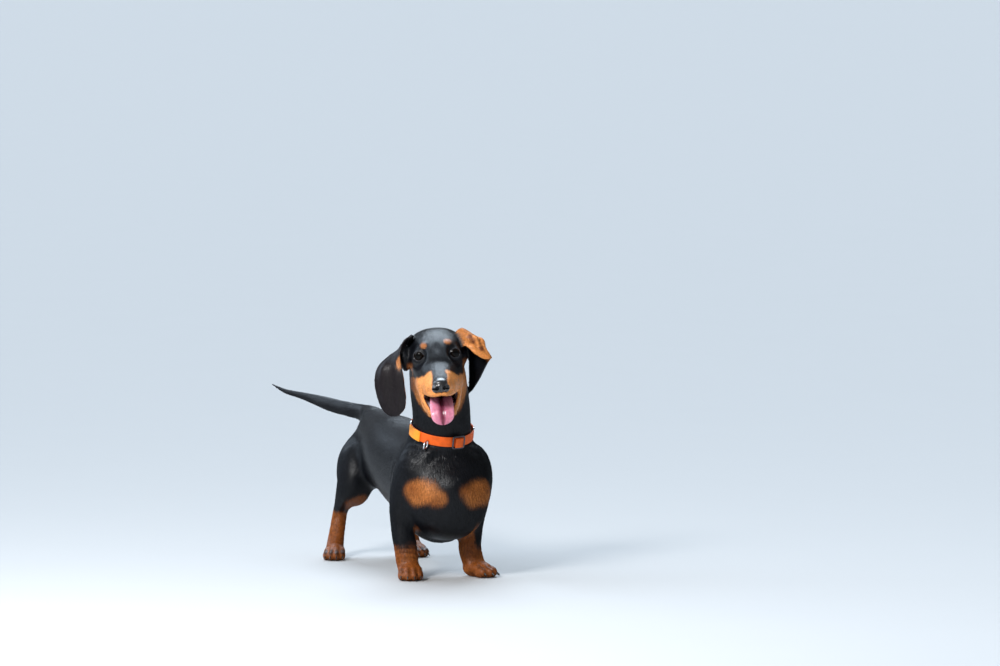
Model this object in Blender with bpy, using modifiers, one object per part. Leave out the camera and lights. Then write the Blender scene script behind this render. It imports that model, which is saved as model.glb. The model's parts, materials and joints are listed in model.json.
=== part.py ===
"""A young smooth-haired dachshund in a collar, standing still with its mouth open, at life size.

The unit is the metre and +Z is up. The dog faces -Y and its left side is +X. It is shaped round a
point on the floor between its forefeet, and at the end the whole is moved so that the origin lies on
the floor under the middle of its box. The tables hold millimetres, which MM turns into metres.
A row of a loft is the centre of a section, then its half width, its reach over the centre (up, or
to the front on an upright part) and its reach under the centre (down, or to the back).
"""

import math

import bmesh
import bpy
import numpy as np
from mathutils import Matrix, Vector

MM = 0.001
GAP = 0.3
FLESH_VOXEL, NOSE_VOXEL = 1.4, 0.7
FLESH_TRIANGLES, NOSE_TRIANGLES, NOSTRIL_TRIANGLES = 6300, 400, 130
SHARP_ANGLE = 50.0

# The head, in its own frame: the origin is midway between the eyes and -Y is forward
HEAD_PLACE = (-21.3, -38.0, 270.5)
HEAD_YAW, HEAD_ROLL, HEAD_PITCH = -18.5, -4.7, 3.5
SKULL = [
    (0, -74, -30, 9, 6, 6),
    (0, -70, -29, 12.5, 9, 9.5),
    (0, -60, -28, 15.5, 12.5, 12.5),
    (0, -48, -27, 17, 14.5, 13.5),
    (0, -35, -25, 18.5, 16.5, 15),
    (0, -20, -22, 22.5, 20, 17),
    (0, -8, -16, 27.5, 22.5, 22),
    (0, 5, -10, 32, 26, 27),
    (0, 20, -5, 36, 28, 32),
    (0, 35, -3, 37.5, 30, 33),
    (0, 50, -2, 35.5, 29, 32),
    (0, 63, -1, 29, 24.5, 28),
    (0, 73, 0, 18, 17, 20),
    (0, 78, 1, 6, 6, 8),
]
JAW = [
    (0, -62, -47, 7, 3, 5),
    (0, -57, -47, 10.5, 4.5, 6.5),
    (0, -45, -48, 13, 5.5, 7.5),
    (0, -30, -48.5, 16, 6.5, 8.5),
    (0, -12, -48, 20.5, 8, 10),
    (0, 8, -46, 26, 12, 12),
    (0, 25, -42, 30, 16, 14),
    (0, 40, -38, 29, 18, 14),
    (0, 52, -35, 20, 12, 10),
]
JAW_HINGE = (0, 35, -28)
JAW_OPEN = 16.0
CHEEK = ((0, 7, -44), (27.5, 20, 14))
EYE_RADIUS = 9.3
EYE_PLACE = (18.8, 4.4, 0.0)
EYE_TURN, EYE_LIFT = 25.0, 4.0
EYE_OPENING = (6.7, 5.9)
LID_THICKNESS = 1.7
# Round each eye the flesh is pressed back to the lids: fully within the rim, and less out to the reach
ORBIT_RIM, ORBIT_REACH, ORBIT_DEPTH, ORBIT_SLOPE = 8.5, 19.0, 24.0, 0.2
TONGUE = [
    (0, -8, -46, 11, 3.6, 3.6),
    (0, -22, -46.8, 12.5, 3.6, 3.6),
    (0, -36, -49, 13.2, 3.2, 3.4),
    (0, -48, -54, 13.8, 2.8, 3),
    (0, -55.5, -60, 13.9, 2.6, 2.6),
    (0, -58.8, -66.5, 13.2, 2.4, 2.3),
    (0, -59.4, -71, 11, 2, 2),
    (0, -59, -74.2, 7, 1.5, 1.5),
    (0, -58.5, -75.8, 2.5, 0.8, 0.8),
]
TONGUE_GROOVE, GROOVE_WIDTH = 0.45, 0.22
NOSE_BLOBS = [
    ((0, -70, -28), (9.5, 8, 7)),
    ((0, -69.5, -24.6), (8.8, 7.5, 5.4)),
    ((5.2, -72.5, -30), (5, 5.5, 5.4)),
    ((-5.2, -72.5, -30), (5, 5.5, 5.4)),
    ((0, -73, -32), (3.4, 4, 4.4)),
]
NOSE_GROOVE = ((0, -79, -31), (1.6, 6, 7))
NOSTRIL = ((4.4, -78, -29.6), (2.3, 4.6, 2.5))
NOSTRIL_SLIT = ((8.2, -75.5, -30.4), (3.0, 3.2, 1.0))
# Each stroke: its place, its reach and how far it lifts the surface, on both sides of the head
HEAD_STROKES = [
    ((13, -13, -4), (9, 11, 8), -3.2),
    ((10, -3, 0), (5, 8, 7), -1.4),
    ((23, -9, -13), (9, 10, 7), -1.2),
    ((15, 1, 13), (9, 9, 6), 1.5),
    ((0, -6, 8), (7, 15, 10), -1.4),
    ((33, 10, 10), (9, 13, 12), -1.8),
    ((15, -52, -33), (8, 15, 8), 1.5),
    ((0, -76, -38), (2.5, 6, 6), -1.2),
]

# Neck, trunk and tail
NECK = [
    (0, 25, 118, 44, 50, 44),
    (0, 14, 150, 41, 46, 42),
    (0, 5, 176, 36, 37, 36),
    (-3, -3, 200, 34.5, 36, 35),
    (-8, -10, 225, 34, 36, 41),
    (-12, -16, 250, 32, 34, 48),
    (-14, -18, 266, 27, 28, 48),
]
TRUNK = [
    (3, -48, 110, 12, 14, 16),
    (3, -40, 108, 36, 40, 42),
    (3, -25, 106, 49, 56, 60),
    (3, 0, 111, 52, 66, 71),
    (2, 35, 112, 49, 64, 71),
    (1, 70, 118, 47, 58, 62),
    (0, 110, 125, 46, 52, 56),
    (0, 150, 131, 44, 49, 49),
    (0, 190, 133, 38, 52, 48),
    (0, 225, 134, 32, 53, 46),
    (0, 255, 136, 26, 50, 40),
    (0, 278, 138, 17, 37, 28),
    (0, 288, 140, 8, 18, 14),
]
TAIL = [
    (1, 262, 168, 13, 15, 15),
    (-1, 280, 172.5, 10, 11, 11),
    (-12, 305, 178, 9.3, 9.3, 9.3),
    (-20, 322, 180, 9, 9, 9),
    (-29, 340, 183, 8.4, 8.4, 8.4),
    (-40, 362, 187.5, 6.4, 6.4, 6.4),
    (-52, 382, 191.5, 4.4, 4.4, 4.4),
    (-64, 402, 195, 3.2, 3.2, 3.2),
    (-76, 423, 203, 1.3, 1.3, 1.3),
]
# Swellings of the chest, shoulders, upper arms and haunches: centre and radii
SWELLINGS = [
    ((3, -30, 104), (30, 24, 34)),
    ((-36, 4, 118), (21, 32, 42)),
    ((42, 4, 118), (21, 32, 42)),
    ((-43, 20, 102), (16, 24, 24)),
    ((52.5, 20, 102), (16, 24, 24)),
    ((-29, 236, 106), (22, 38, 43)),
    ((29, 236, 106), (22, 38, 43)),
]

# Where the nodes part: the plane under the head, and the neck's lower edge in side view, (Y, Z)
HEAD_CUT_PLACE, HEAD_CUT_PITCH, HEAD_CUT_SIZE = (-9, 0, 230), 48.0, (80, 130, 80)
NECK_CUT = [(-80, 116), (-30, 136), (0, 151), (25, 166), (40, 181), (50, 200), (60, 310), (-80, 310)]
NECK_CUT_ROWS, NECK_CUT_HALF = 6, 75.0
TAIL_CUT_RADIUS, TAIL_CUT_END = 14.0, (-82, 442, 206)
FORELEG_CUT = [
    (48, 8, -8, 33, 60, 42),
    (50, 10, 60, 32, 40, 34),
    (54, 10, 90, 28, 34, 32),
    (54, 9, 118, 27, 32, 30),
    (54, 9, 136, 17, 20, 19),
    (54, 9, 142, 4, 5, 5),
]
HINDLEG_CUT = [
    (56, 236, -8, 50, 60, 60),
    (50, 236, 60, 38, 48, 46),
    (48, 230, 100, 35, 46, 42),
    (46, 236, 134, 31, 39, 37),
    (45, 238, 156, 20, 26, 24),
    (45, 238, 164, 4, 6, 6),
]
FOREPAW_CUT, HINDPAW_CUT, PAW_CUT_TILT, PAW_CUT_SIZE = 24.0, 22.0, -18.0, (45, 60, 40)

# Legs from the floor up: the centres of paw, wrist or hock, forearm, elbow or stifle, and hip
FORELEGS = {
    "right": [(-45, -6, 11), (-46, -1, 22), (-47, 2, 38), (-48.5, 8, 62), (-48, 12, 88), (-42, 10, 124)],
    "left": [(39, -6, 11), (37, -1, 22), (35, 2, 36), (40, 8, 62), (47, 12, 88), (48, 10, 124)],
}
FORELEG_GIRTH = [
    (13, 11, 11),
    (13.5, 11, 11),
    (14, 12, 12),
    (14.5, 14, 15),
    (15.5, 18, 19),
    (15, 25, 26),
]
HINDLEGS = {
    "right": [(-56, 237, 11), (-52, 243, 25), (-43, 254, 55), (-44, 238, 74), (-44, 213, 95), (-30, 234, 124)],
    "left": [(46, 237, 11), (45, 243, 25), (41, 254, 55), (44, 238, 74), (44, 213, 95), (30, 234, 124)],
}
HINDLEG_GIRTH = [
    (11, 10, 9.5),
    (10, 10, 10),
    (9, 10.5, 12),
    (11.5, 15, 13),
    (15.5, 22, 25),
    (20, 36, 32),
]
# Paws: the middle of the foot on the floor and the turn of its toes, in degrees
FOREPAWS = {"right": ((-45, -9), -17.0), "left": ((41, -8), 32.0)}
HINDPAWS = {"right": ((-58, 230), -24.0), "left": ((46, 229), 2.0)}
FOREPAW_WIDTH, HINDPAW_WIDTH = 32.0, 29.0
# In widths of the paw: the foot's body, a toe and its knuckle, each a centre and radii
PAW_BODY = ((0, 0.1, 0.33), (0.43, 0.5, 0.36))
TOES = [(-0.34, -0.40), (-0.12, -0.58), (0.12, -0.58), (0.34, -0.40)]
TOE_PLACE, TOE_SIZE = (1.0, 0.0, 0.2), (0.145, 0.27, 0.215)
KNUCKLE_PLACE, KNUCKLE_SIZE = (0.9, 0.26, 0.33), (0.15, 0.26, 0.2)
CLAW_LENGTH, CLAW_RADIUS, CLAW_DROP = 7.5, 1.5, 0.28
CLAW_PLACE, CLAW_SPLAY, CLAW_PITCH = (1.03, -0.15, 0.2), 30.0, 14.0

# Ears, in the head's frame. Each row runs across the leaf: back edge, middle and front edge
EAR_THICKNESS = 2.4
EAR_ACROSS = 9
EAR_BASES = [((-36.5, 15, -5), (8, 8, 18)), ((34, 16, -8), (7, 8, 15))]
RIGHT_EAR = [
    [(-26, 36, 21), (-27, 23, 23), (-28, 10, 22)],
    [(-35, 35, 13), (-36.5, 21, 16), (-36.8, 8, 19)],
    [(-45, 33, 5), (-45.5, 17, 6), (-42.5, 4, 8)],
    [(-57, 31, -1), (-53, 12, -2), (-45.8, 0, -1)],
    [(-68, 27, -9), (-59, 6, -10), (-45.6, -3, -11)],
    [(-74, 24, -19), (-61, 3, -20), (-42.8, -6, -21)],
    [(-76, 21, -32), (-60.5, 1, -33), (-40.9, -8, -34)],
    [(-74.6, 18, -46), (-59.5, 0, -47), (-40.7, -9, -48)],
    [(-70.5, 13, -58), (-58.5, 0, -59), (-44, -7, -59.5)],
    [(-65, 8, -65.5), (-58, 1, -66), (-50, -4, -66)],
    [(-60.5, 4, -69), (-57.5, 2, -70), (-54, 0, -69)],
]
LEFT_EAR = [
    [(22, 22, 20), (26, 16, 14), (30, 10, 4)],
    [(26, 23, 23.5), (33, 13, 15), (35.5, 6, 6)],
    [(28.5, 24, 25), (40, 9, 14), (43.5, 1, -2)],
    [(30, 24, 25.5), (46, 8, 13), (54, -1, -9.5)],
    [(31, 25, 25.8), (50, 11, 12.5), (62, 2, -11.5)],
    [(32.5, 29, 25), (52.5, 16.5, 10.5), (64.8, 8, -11)],
    [(35, 34, 21), (52, 23, 2), (61.5, 13.5, -15)],
    [(38, 39, 4), (48, 28, -12), (56.5, 17.5, -23)],
    [(38.5, 40, -16), (44, 31, -27), (50.5, 21, -34)],
    [(37, 38, -36), (40.5, 30, -42), (43.5, 25, -44.5)],
    [(35.5, 32, -49), (36.5, 30, -52), (38, 28, -51.5)],
]
# Ridges that cross the folded leaf: place along it, place across it, and height
RIDGE_SPREAD = (0.13, 0.28)
LEFT_EAR_RIDGES = [(0.18, 0.35, 1.6), (0.27, -0.1, -1.6), (0.3, 0.5, 1.5), (0.2, -0.35, 1.2)]
RIGHT_EAR_RIDGES = [(0.45, 0.0, 2.0), (0.36, -0.6, -1.6), (0.4, 0.65, -1.2)]

# The collar: an oval band, lower at the throat
COLLAR_CENTRE = (0.5, 4.5, 176.5)
COLLAR_TILT = 17.0
COLLAR_OVAL = (36.8, 38.4)
BAND_HEIGHT, BAND_THICKNESS = 12.0, 1.5
LOOP_TURNS = (-107.0, 68.0)
KEEPER_TURNS = (-99.0, -62.0)
SLIDER_TURN = 10.0
RING_TURN = -45.0
LOOP_SIZE, LOOP_WIRE = (5.5, 15.0), 1.0
SLIDER_SIZE, SLIDER_WIRE = (15.0, 14.6), 1.1
RING_SIZE, RING_WIRE = (9.0, 9.5), 0.9
LOOP_ROUNDING, SLIDER_ROUNDING, RING_ROUNDING = 1.4, 2.2, 2.5
BAND_BEVEL, BAND_STEP = 0.3, 9.0
KEEPER_THICKNESS, KEEPER_OVERHANG = 1.2, 0.8
COLLAR_BED_HALF, COLLAR_BED_DEPTH = 11.5, 12.0

BLACK_COAT = (0.012, 0.013, 0.017)
TAN_COAT = (0.36, 0.12, 0.035)
EYE_BROWN = (0.01, 0.006, 0.004)
NOSE_BLACK = (0.015, 0.014, 0.015)
TONGUE_PINK = (0.75, 0.22, 0.29)
WEBBING_ORANGE = (0.9, 0.17, 0.01)
WEBBING_AMBER = (0.95, 0.33, 0.02)
GUNMETAL_GREY = (0.12, 0.11, 0.12)
STEEL_GREY = (0.7, 0.7, 0.72)


def turned(yaw=0.0, roll=0.0, pitch=0.0):
    """Rotation by degrees: pitch about X, then roll about Y, then yaw about Z."""
    turns = ((yaw, "Z"), (roll, "Y"), (pitch, "X"))
    found = Matrix.Identity(4)
    for angle, axis in turns:
        found = found @ Matrix.Rotation(math.radians(angle), 4, axis)
    return found


def head_frame():
    return Matrix.Translation(HEAD_PLACE) @ turned(HEAD_YAW, HEAD_ROLL, HEAD_PITCH)


def jaw_frame():
    """The head's frame with the jaw swung down about its hinge."""
    hinge = Matrix.Translation(JAW_HINGE)
    return head_frame() @ hinge @ turned(pitch=JAW_OPEN) @ hinge.inverted()


def paw_frame(place, turn):
    return Matrix.Translation((place[0], place[1], 0)) @ turned(turn)


def moved(points, frame):
    matrix = np.array(frame)
    return np.asarray(points, float) @ matrix[:3, :3].T + matrix[:3, 3]


def smooth_rows(rows, steps):
    """Rows read from a Catmull-Rom curve through the given ones, with this many steps to each."""
    rows = np.asarray(rows, float)
    ends = np.concatenate([[2 * rows[0] - rows[1]], rows, [2 * rows[-1] - rows[-2]]])
    found = [rows[0]]
    for before, start, end, after in zip(ends, ends[1:], ends[2:], ends[3:]):
        bend = 2 * before - 5 * start + 4 * end - after
        twist = 3 * start - before - 3 * end + after
        for t in np.linspace(0, 1, steps + 1)[1:]:
            found.append(start + 0.5 * ((end - before) * t + bend * t**2 + twist * t**3))
    return np.array(found)


def unit(vectors):
    return vectors / np.linalg.norm(vectors, axis=-1, keepdims=True)


def outline(sides, squareness):
    """The unit section of a loft: (across, up) of each point round it."""
    angles = np.arange(sides) * 2 * math.pi / sides
    found = np.stack([np.cos(angles), np.sin(angles)], axis=1)
    return np.sign(found) * np.abs(found) ** (2 / squareness)


def section_rings(rows, steps, sides, squareness, groove=0.0):
    """The rings of a loft through the rows, as an array of rings by sides by 3."""
    rows = smooth_rows(rows, steps)
    centres = rows[:, :3]
    along = unit(np.gradient(centres, axis=0))
    side = np.array([1.0, 0, 0])
    side = unit(side - along * (along @ side)[:, None])
    up = np.cross(side, along)
    shape = outline(sides, squareness)
    reach = np.where(shape[:, 1] > 0, rows[:, 4:5], rows[:, 5:6])
    dip = groove * np.exp(-((shape[:, 0] / GROOVE_WIDTH) ** 2)) * np.sign(shape[:, 1])
    lift = reach * (shape[:, 1] - dip)
    across = rows[:, 3:4] * shape[:, 0]
    return centres[:, None] + across[:, :, None] * side[:, None] + lift[:, :, None] * up[:, None]


def skin_of_rings(rings, closed_ends=True):
    """Points and faces of a tube through the rings, with a fan of faces over each end."""
    count, sides = rings.shape[:2]
    points = list(rings.reshape(-1, 3))
    faces = []
    for ring in range(count - 1):
        for k in range(sides):
            near, far = ring * sides + k, ring * sides + (k + 1) % sides
            faces.append((near, far, far + sides, near + sides))
    if closed_ends:
        for start, turn in ((0, -1), ((count - 1) * sides, 1)):
            middle = len(points)
            points.append(rings[start // sides].mean(axis=0))
            for k in range(sides):
                edge = (start + k, start + (k + 1) % sides)
                faces.append((middle, *edge[::turn]))
    return np.array(points), faces


def add_mesh(bm, points, faces, frame=None):
    """Adds the faces to the bmesh, in metres and facing out."""
    if frame is not None:
        points = moved(points, frame)
    verts = [bm.verts.new(point) for point in np.asarray(points) * MM]
    new = [bm.faces.new([verts[k] for k in face]) for face in faces]
    bmesh.ops.recalc_face_normals(bm, faces=new)


def add_loft(bm, rows, frame=None, steps=5, sides=32, squareness=2.2, groove=0.0):
    rings = section_rings(rows, steps, sides, squareness, groove)
    add_mesh(bm, *skin_of_rings(rings), frame)


def add_blob(bm, centre, radii, frame=None, detail=4):
    """An ellipsoid from a sphere of triangles."""
    place = (frame or Matrix.Identity(4)) @ Matrix.Translation(centre) @ Matrix.Diagonal((*radii, 1))
    scale = Matrix.Scale(MM, 4)
    bmesh.ops.create_icosphere(bm, subdivisions=detail, radius=1, matrix=scale @ place)


def part_collection(name):
    found = bpy.data.collections.new(name)
    bpy.context.scene.collection.children.link(found)
    return found


def object_of(bm, name, group):
    mesh = bpy.data.meshes.new(name)
    bm.to_mesh(mesh)
    bm.free()
    found = bpy.data.objects.new(name, mesh)
    group.objects.link(found)
    return found


def cutter_of(bm, name):
    """A helper for a Boolean, left out of the model."""
    return as_cutter(object_of(bm, name, CUTTERS))


def bake(obj):
    """Replaces the object's mesh by what its modifiers make of it."""
    graph = bpy.context.evaluated_depsgraph_get()
    made = bpy.data.meshes.new_from_object(obj.evaluated_get(graph), depsgraph=graph)
    obj.modifiers.clear()
    old = obj.data
    obj.data = made
    bpy.data.meshes.remove(old)


def combine(obj, other, operation):
    """Joins the other object to this one, or cuts it from it."""
    step = obj.modifiers.new(operation, "BOOLEAN")
    step.operation = operation
    step.object = other
    bake(obj)


def remesh(obj, voxel):
    step = obj.modifiers.new("remesh", "REMESH")
    step.mode = "VOXEL"
    step.voxel_size = voxel * MM
    bake(obj)


def decimate(obj, triangles, weights=None):
    """Fewer triangles. Where a weight is low, more of them stay."""
    step = obj.modifiers.new("decimate", "DECIMATE")
    if weights is not None:
        group = obj.vertex_groups.new(name="spare")
        for index, weight in enumerate(weights):
            group.add([index], float(weight), "REPLACE")
        step.vertex_group = group.name
        step.vertex_group_factor = 1.0
    step.ratio = triangles / sum(len(face.vertices) - 2 for face in obj.data.polygons)
    bake(obj)


def points_of(mesh):
    found = np.empty(len(mesh.vertices) * 3)
    mesh.vertices.foreach_get("co", found)
    return found.reshape(-1, 3) / MM


def normals_of(mesh):
    found = np.empty(len(mesh.vertices) * 3)
    mesh.vertex_normals.foreach_get("vector", found)
    return found.reshape(-1, 3)


def set_points(mesh, points):
    mesh.vertices.foreach_set("co", (points * MM).ravel())
    mesh.update()


def relax(mesh, rounds, hold):
    """Smooths without shrinking. A point with a hold of 1 stays where it is."""
    edges = np.empty(len(mesh.edges) * 2, int)
    mesh.edges.foreach_get("vertices", edges)
    ends = edges.reshape(-1, 2)
    tail, head = np.concatenate([ends, ends[:, ::-1]]).T
    count = np.bincount(tail, minlength=len(mesh.vertices))[:, None]
    points = points_of(mesh)
    for step in (0.5, -0.52) * rounds:
        sums = [np.bincount(tail, points[head, axis], len(points)) for axis in range(3)]
        points += (np.stack(sums, axis=1) / count - points) * (step * (1 - hold))[:, None]
    set_points(mesh, points)


def near(points, centre, reach):
    """1 at the centre, falling smoothly to 0 at the reach, which is a number or one for each axis."""
    away = np.sum(((points - np.asarray(centre)) / np.asarray(reach)) ** 2, axis=1)
    return np.clip(1 - away, 0, None) ** 2


def keep_largest(obj):
    """Keeps the closed surface that holds the most, and drops loose scraps."""
    bm = bmesh.new()
    bm.from_mesh(obj.data)
    left = set(bm.verts)
    islands = []
    while left:
        island = {left.pop()}
        edge = list(island)
        while edge:
            found = {e.other_vert(v) for v in edge for e in v.link_edges} & left
            left -= found
            island |= found
            edge = list(found)
        islands.append(island)
    islands.sort(key=len)
    loose = [v for island in islands[:-1] for v in island]
    bmesh.ops.delete(bm, geom=loose, context="VERTS")
    bm.to_mesh(obj.data)
    bm.free()


def copy_of(obj, name, group):
    found = bpy.data.objects.new(name, obj.data.copy())
    group.objects.link(found)
    return found


def as_cutter(obj):
    obj.display_type = "WIRE"
    obj.hide_render = True
    return obj


def grown(obj, name):
    """A cutter larger than the object by the gap all over."""
    found = as_cutter(copy_of(obj, name, CUTTERS))
    set_points(found.data, points_of(found.data) + normals_of(found.data) * GAP)
    return found


def split_off(body, name, region, beyond):
    """Takes the body's part in the region as a new node, and cuts the wider region from the body."""
    piece = copy_of(body, name, PARTS)
    combine(piece, region, "INTERSECT")
    keep_largest(piece)
    combine(body, beyond, "DIFFERENCE")
    keep_largest(body)
    return piece


def eye_axis(side):
    """The frame of an eye: its centre, with -Y along the gaze."""
    x, y, z = EYE_PLACE
    return head_frame() @ Matrix.Translation((side * x, y, z)) @ turned(side * EYE_TURN, pitch=-EYE_LIFT)


def add_paw(bm, frame, width):
    """A foot of four arched toes, its middle at the frame's origin."""
    wide = frame @ Matrix.Scale(width, 4)
    add_blob(bm, *PAW_BODY, wide)
    for across, forward in TOES:
        for (aside, back, up), size in ((TOE_PLACE, TOE_SIZE), (KNUCKLE_PLACE, KNUCKLE_SIZE)):
            add_blob(bm, (across * aside, forward + back, up), size, wide)


def leg_rows(centres, girth):
    return [(*centre, *size) for centre, size in zip(centres, girth)]


def flesh():
    """The whole animal but for ears, eyes, nose leather, tongue and claws, in one skin."""
    bm = bmesh.new()
    head = head_frame()
    add_loft(bm, SKULL, head)
    add_loft(bm, JAW, jaw_frame())
    add_blob(bm, *CHEEK, head)
    for side in (-1, 1):
        add_blob(bm, (0, 0, 0), (EYE_RADIUS + LID_THICKNESS,) * 3, eye_axis(side))
    for centre, radii in EAR_BASES:
        add_blob(bm, centre, radii, head)
    add_loft(bm, NECK)
    add_loft(bm, TRUNK, squareness=2.15)
    add_loft(bm, TAIL)
    for centre, radii in SWELLINGS:
        add_blob(bm, centre, radii)
    for legs, girth in ((FORELEGS, FORELEG_GIRTH), (HINDLEGS, HINDLEG_GIRTH)):
        for centres in legs.values():
            add_loft(bm, leg_rows(centres, girth))
    for paws, width in ((FOREPAWS, FOREPAW_WIDTH), (HINDPAWS, HINDPAW_WIDTH)):
        for place, turn in paws.values():
            add_paw(bm, paw_frame(place, turn), width)
    return object_of(bm, "flesh", PARTS)


def paw_nearness(points):
    found = np.zeros(len(points))
    for place, _ in (*FOREPAWS.values(), *HINDPAWS.values()):
        found = np.maximum(found, near(points, (*place, 8), (30, 34, 30)))
    return found


def shape_flesh(body):
    """Smooths the joins, then lifts and presses the forms of the face."""
    remesh(body, FLESH_VOXEL)
    points = points_of(body.data)
    local = moved(points, head_frame().inverted())
    face = near(local, (0, -10, -20), (60, 90, 70))
    hold = np.clip(0.85 * face**0.5 + 0.9 * paw_nearness(points) ** 0.5, 0, 0.92)
    relax(body.data, 60, hold)
    points = points_of(body.data)
    normals = normals_of(body.data)
    local = moved(points, head_frame().inverted())
    for (x, y, z), reach, lift in HEAD_STROKES:
        for side in (1, -1) if x else (1,):
            points += normals * (lift * near(local, (side * x, y, z), reach))[:, None]
    for side in (-1, 1):
        points = moved(press_orbit(moved(points, eye_axis(side).inverted())), eye_axis(side))
    set_points(body.data, points)
    relax(body.data, 9, np.zeros(len(points)))


def press_orbit(local):
    """Presses flesh that stands in front of an eye back to its lids. The gaze is along -Y."""
    out = -local[:, 1]
    away = np.hypot(local[:, 0], local[:, 2])
    ball = EYE_RADIUS + LID_THICKNESS
    lids = np.sqrt(ball**2 - np.minimum(away, ORBIT_RIM) ** 2)
    lids -= ORBIT_SLOPE * np.maximum(away - ORBIT_RIM, 0)
    fade = np.clip((ORBIT_REACH - away) / (ORBIT_REACH - ORBIT_RIM), 0, 1)
    fade = fade**2 * (3 - 2 * fade) * np.clip(ORBIT_DEPTH - out, 0, 1)
    pressed = out - np.where(out > 0, np.maximum(out - lids, 0) * fade, 0)
    return np.stack([local[:, 0], -pressed, local[:, 2]], axis=1)


def thin_flesh(body):
    """Leaves the triangles where the forms are small: eyes, mouth and toes."""
    points = points_of(body.data)
    local = moved(points, head_frame().inverted())
    fine = 0.7 * near(local, (0, -15, -20), (50, 90, 75)) ** 0.3
    for side in (-1, 1):
        fine = np.maximum(fine, near(local, (side * 23, -3, 0), 22) ** 0.4)
    fine = np.maximum(fine, near(local, (0, -50, -50), (32, 45, 32)) ** 0.4)
    fine = np.maximum(fine, 0.5 * paw_nearness(points) ** 0.4)
    fine = np.maximum(fine, 0.6 * near(points, (-40, 360, 187), (60, 95, 40)) ** 0.3)
    decimate(body, FLESH_TRIANGLES, np.clip(1 - fine, 0.02, 0.6))


def box_region(name, frame, size, base=0.0):
    """A box of this half size, its lower face through the frame's origin and square to its Z."""
    bm = bmesh.new()
    lift = Matrix.Translation((0, 0, base + size[2]))
    scale = Matrix.Diagonal((*(2 * s for s in size), 1))
    bmesh.ops.create_cube(bm, size=1, matrix=Matrix.Scale(MM, 4) @ frame @ lift @ scale)
    return cutter_of(bm, name)


def two_boxes(name, frame, size):
    return box_region(name, frame, size, GAP), box_region(name + "_beyond", frame, size)


def widened(rows, more):
    return [(*row[:3], *(size + more for size in row[3:])) for row in rows]


def two_lofts(name, rows):
    found = []
    for suffix, more in (("", 0.0), ("_beyond", GAP)):
        bm = bmesh.new()
        add_loft(bm, widened(rows, more), steps=2, sides=14)
        found.append(cutter_of(bm, name + suffix))
    return found


def split_body(body):
    """Parts the body into its nodes with thin cuts."""
    nodes = {}
    head_cut = Matrix.Translation(HEAD_CUT_PLACE) @ turned(pitch=HEAD_CUT_PITCH)
    nodes["head"] = split_off(body, "head", *two_boxes("head_region", head_cut, HEAD_CUT_SIZE))
    nodes["neck"] = split_off(body, "neck", *neck_regions())
    rows = [(*place, *(TAIL_CUT_RADIUS,) * 3) for place in [row[:3] for row in TAIL[1:]] + [TAIL_CUT_END]]
    nodes["tail"] = split_off(body, "tail", *two_lofts("tail_region", rows))
    for kind, cut in (("foreleg_", FORELEG_CUT), ("hindleg_", HINDLEG_CUT)):
        for side, sign in (("right", -1), ("left", 1)):
            rows = [(sign * x, *rest) for x, *rest in cut]
            nodes[kind + side] = split_off(body, kind + side, *two_lofts(kind + side + "_region", rows))
    nodes["torso"] = body
    body.name = "torso"
    return nodes


def neck_regions():
    """The space over the base of the neck, which runs from the breast up to the withers."""
    found = []
    for suffix, drop in (("", 0.0), ("_beyond", GAP)):
        bm = bmesh.new()
        rim = [(y, z - drop * (k < NECK_CUT_ROWS)) for k, (y, z) in enumerate(NECK_CUT)]
        count = len(rim)
        points = [(x, y, z) for x in (-NECK_CUT_HALF, NECK_CUT_HALF) for y, z in rim]
        faces = [tuple(range(count)), tuple(range(2 * count - 1, count - 1, -1))]
        faces += [(k, (k + 1) % count, (k + 1) % count + count, k + count) for k in range(count)]
        add_mesh(bm, np.array(points, float), faces)
        bmesh.ops.triangulate(bm, faces=bm.faces)
        found.append(cutter_of(bm, "neck_region" + suffix))
    return found


def split_paw(leg, name, place, turn, height):
    """Cuts the foot from its leg just above the toes' roots."""
    frame = Matrix.Translation((*place, height)) @ turned(turn) @ turned(pitch=180 + PAW_CUT_TILT)
    return split_off(leg, name, *two_boxes(name + "_region", frame, PAW_CUT_SIZE))


def claw_rings(frame):
    """A claw that curves down to a blunt point."""
    rows = []
    for t in np.linspace(0, 1, 5):
        size = CLAW_RADIUS * (1 - 0.8 * t**1.5)
        rows.append((0, -CLAW_LENGTH * t, -CLAW_DROP * CLAW_LENGTH * t**2, 0.8 * size, size, size))
    return moved(section_rings(rows, 1, 6, 2.0), frame)


def add_claws(paw, place, turn, width):
    bm = bmesh.new()
    aside, ahead, up = CLAW_PLACE
    for across, forward in TOES:
        root = Matrix.Translation(Vector((across * aside, forward + ahead, up)) * width)
        splay = turned(across * CLAW_SPLAY, pitch=CLAW_PITCH)
        rings = claw_rings(paw_frame(place, turn) @ root @ splay)
        add_mesh(bm, *skin_of_rings(rings))
    claws = cutter_of(bm, paw.name + "_claws")
    combine(paw, claws, "UNION")


def flatten_foot(paw):
    """Cuts the foot off level with the floor."""
    floor = Matrix.Translation((0, 100, 0)) @ turned(pitch=180)
    combine(paw, box_region(paw.name + "_floor", floor, (200, 400, 20)), "DIFFERENCE")
    keep_largest(paw)


def make_paws(nodes, kind, paws, width, height):
    for side, (place, turn) in paws.items():
        name = kind + "paw_" + side
        paw = split_paw(nodes[kind + "leg_" + side], name, place, turn, height)
        add_claws(paw, place, turn, width)
        flatten_foot(paw)
        nodes[name] = paw


def sphere_object(name, frame, radius, group):
    bm = bmesh.new()
    matrix = Matrix.Scale(MM, 4) @ frame @ turned(pitch=90)
    bmesh.ops.create_uvsphere(bm, u_segments=18, v_segments=10, radius=radius, matrix=matrix)
    return object_of(bm, name, group)


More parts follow.
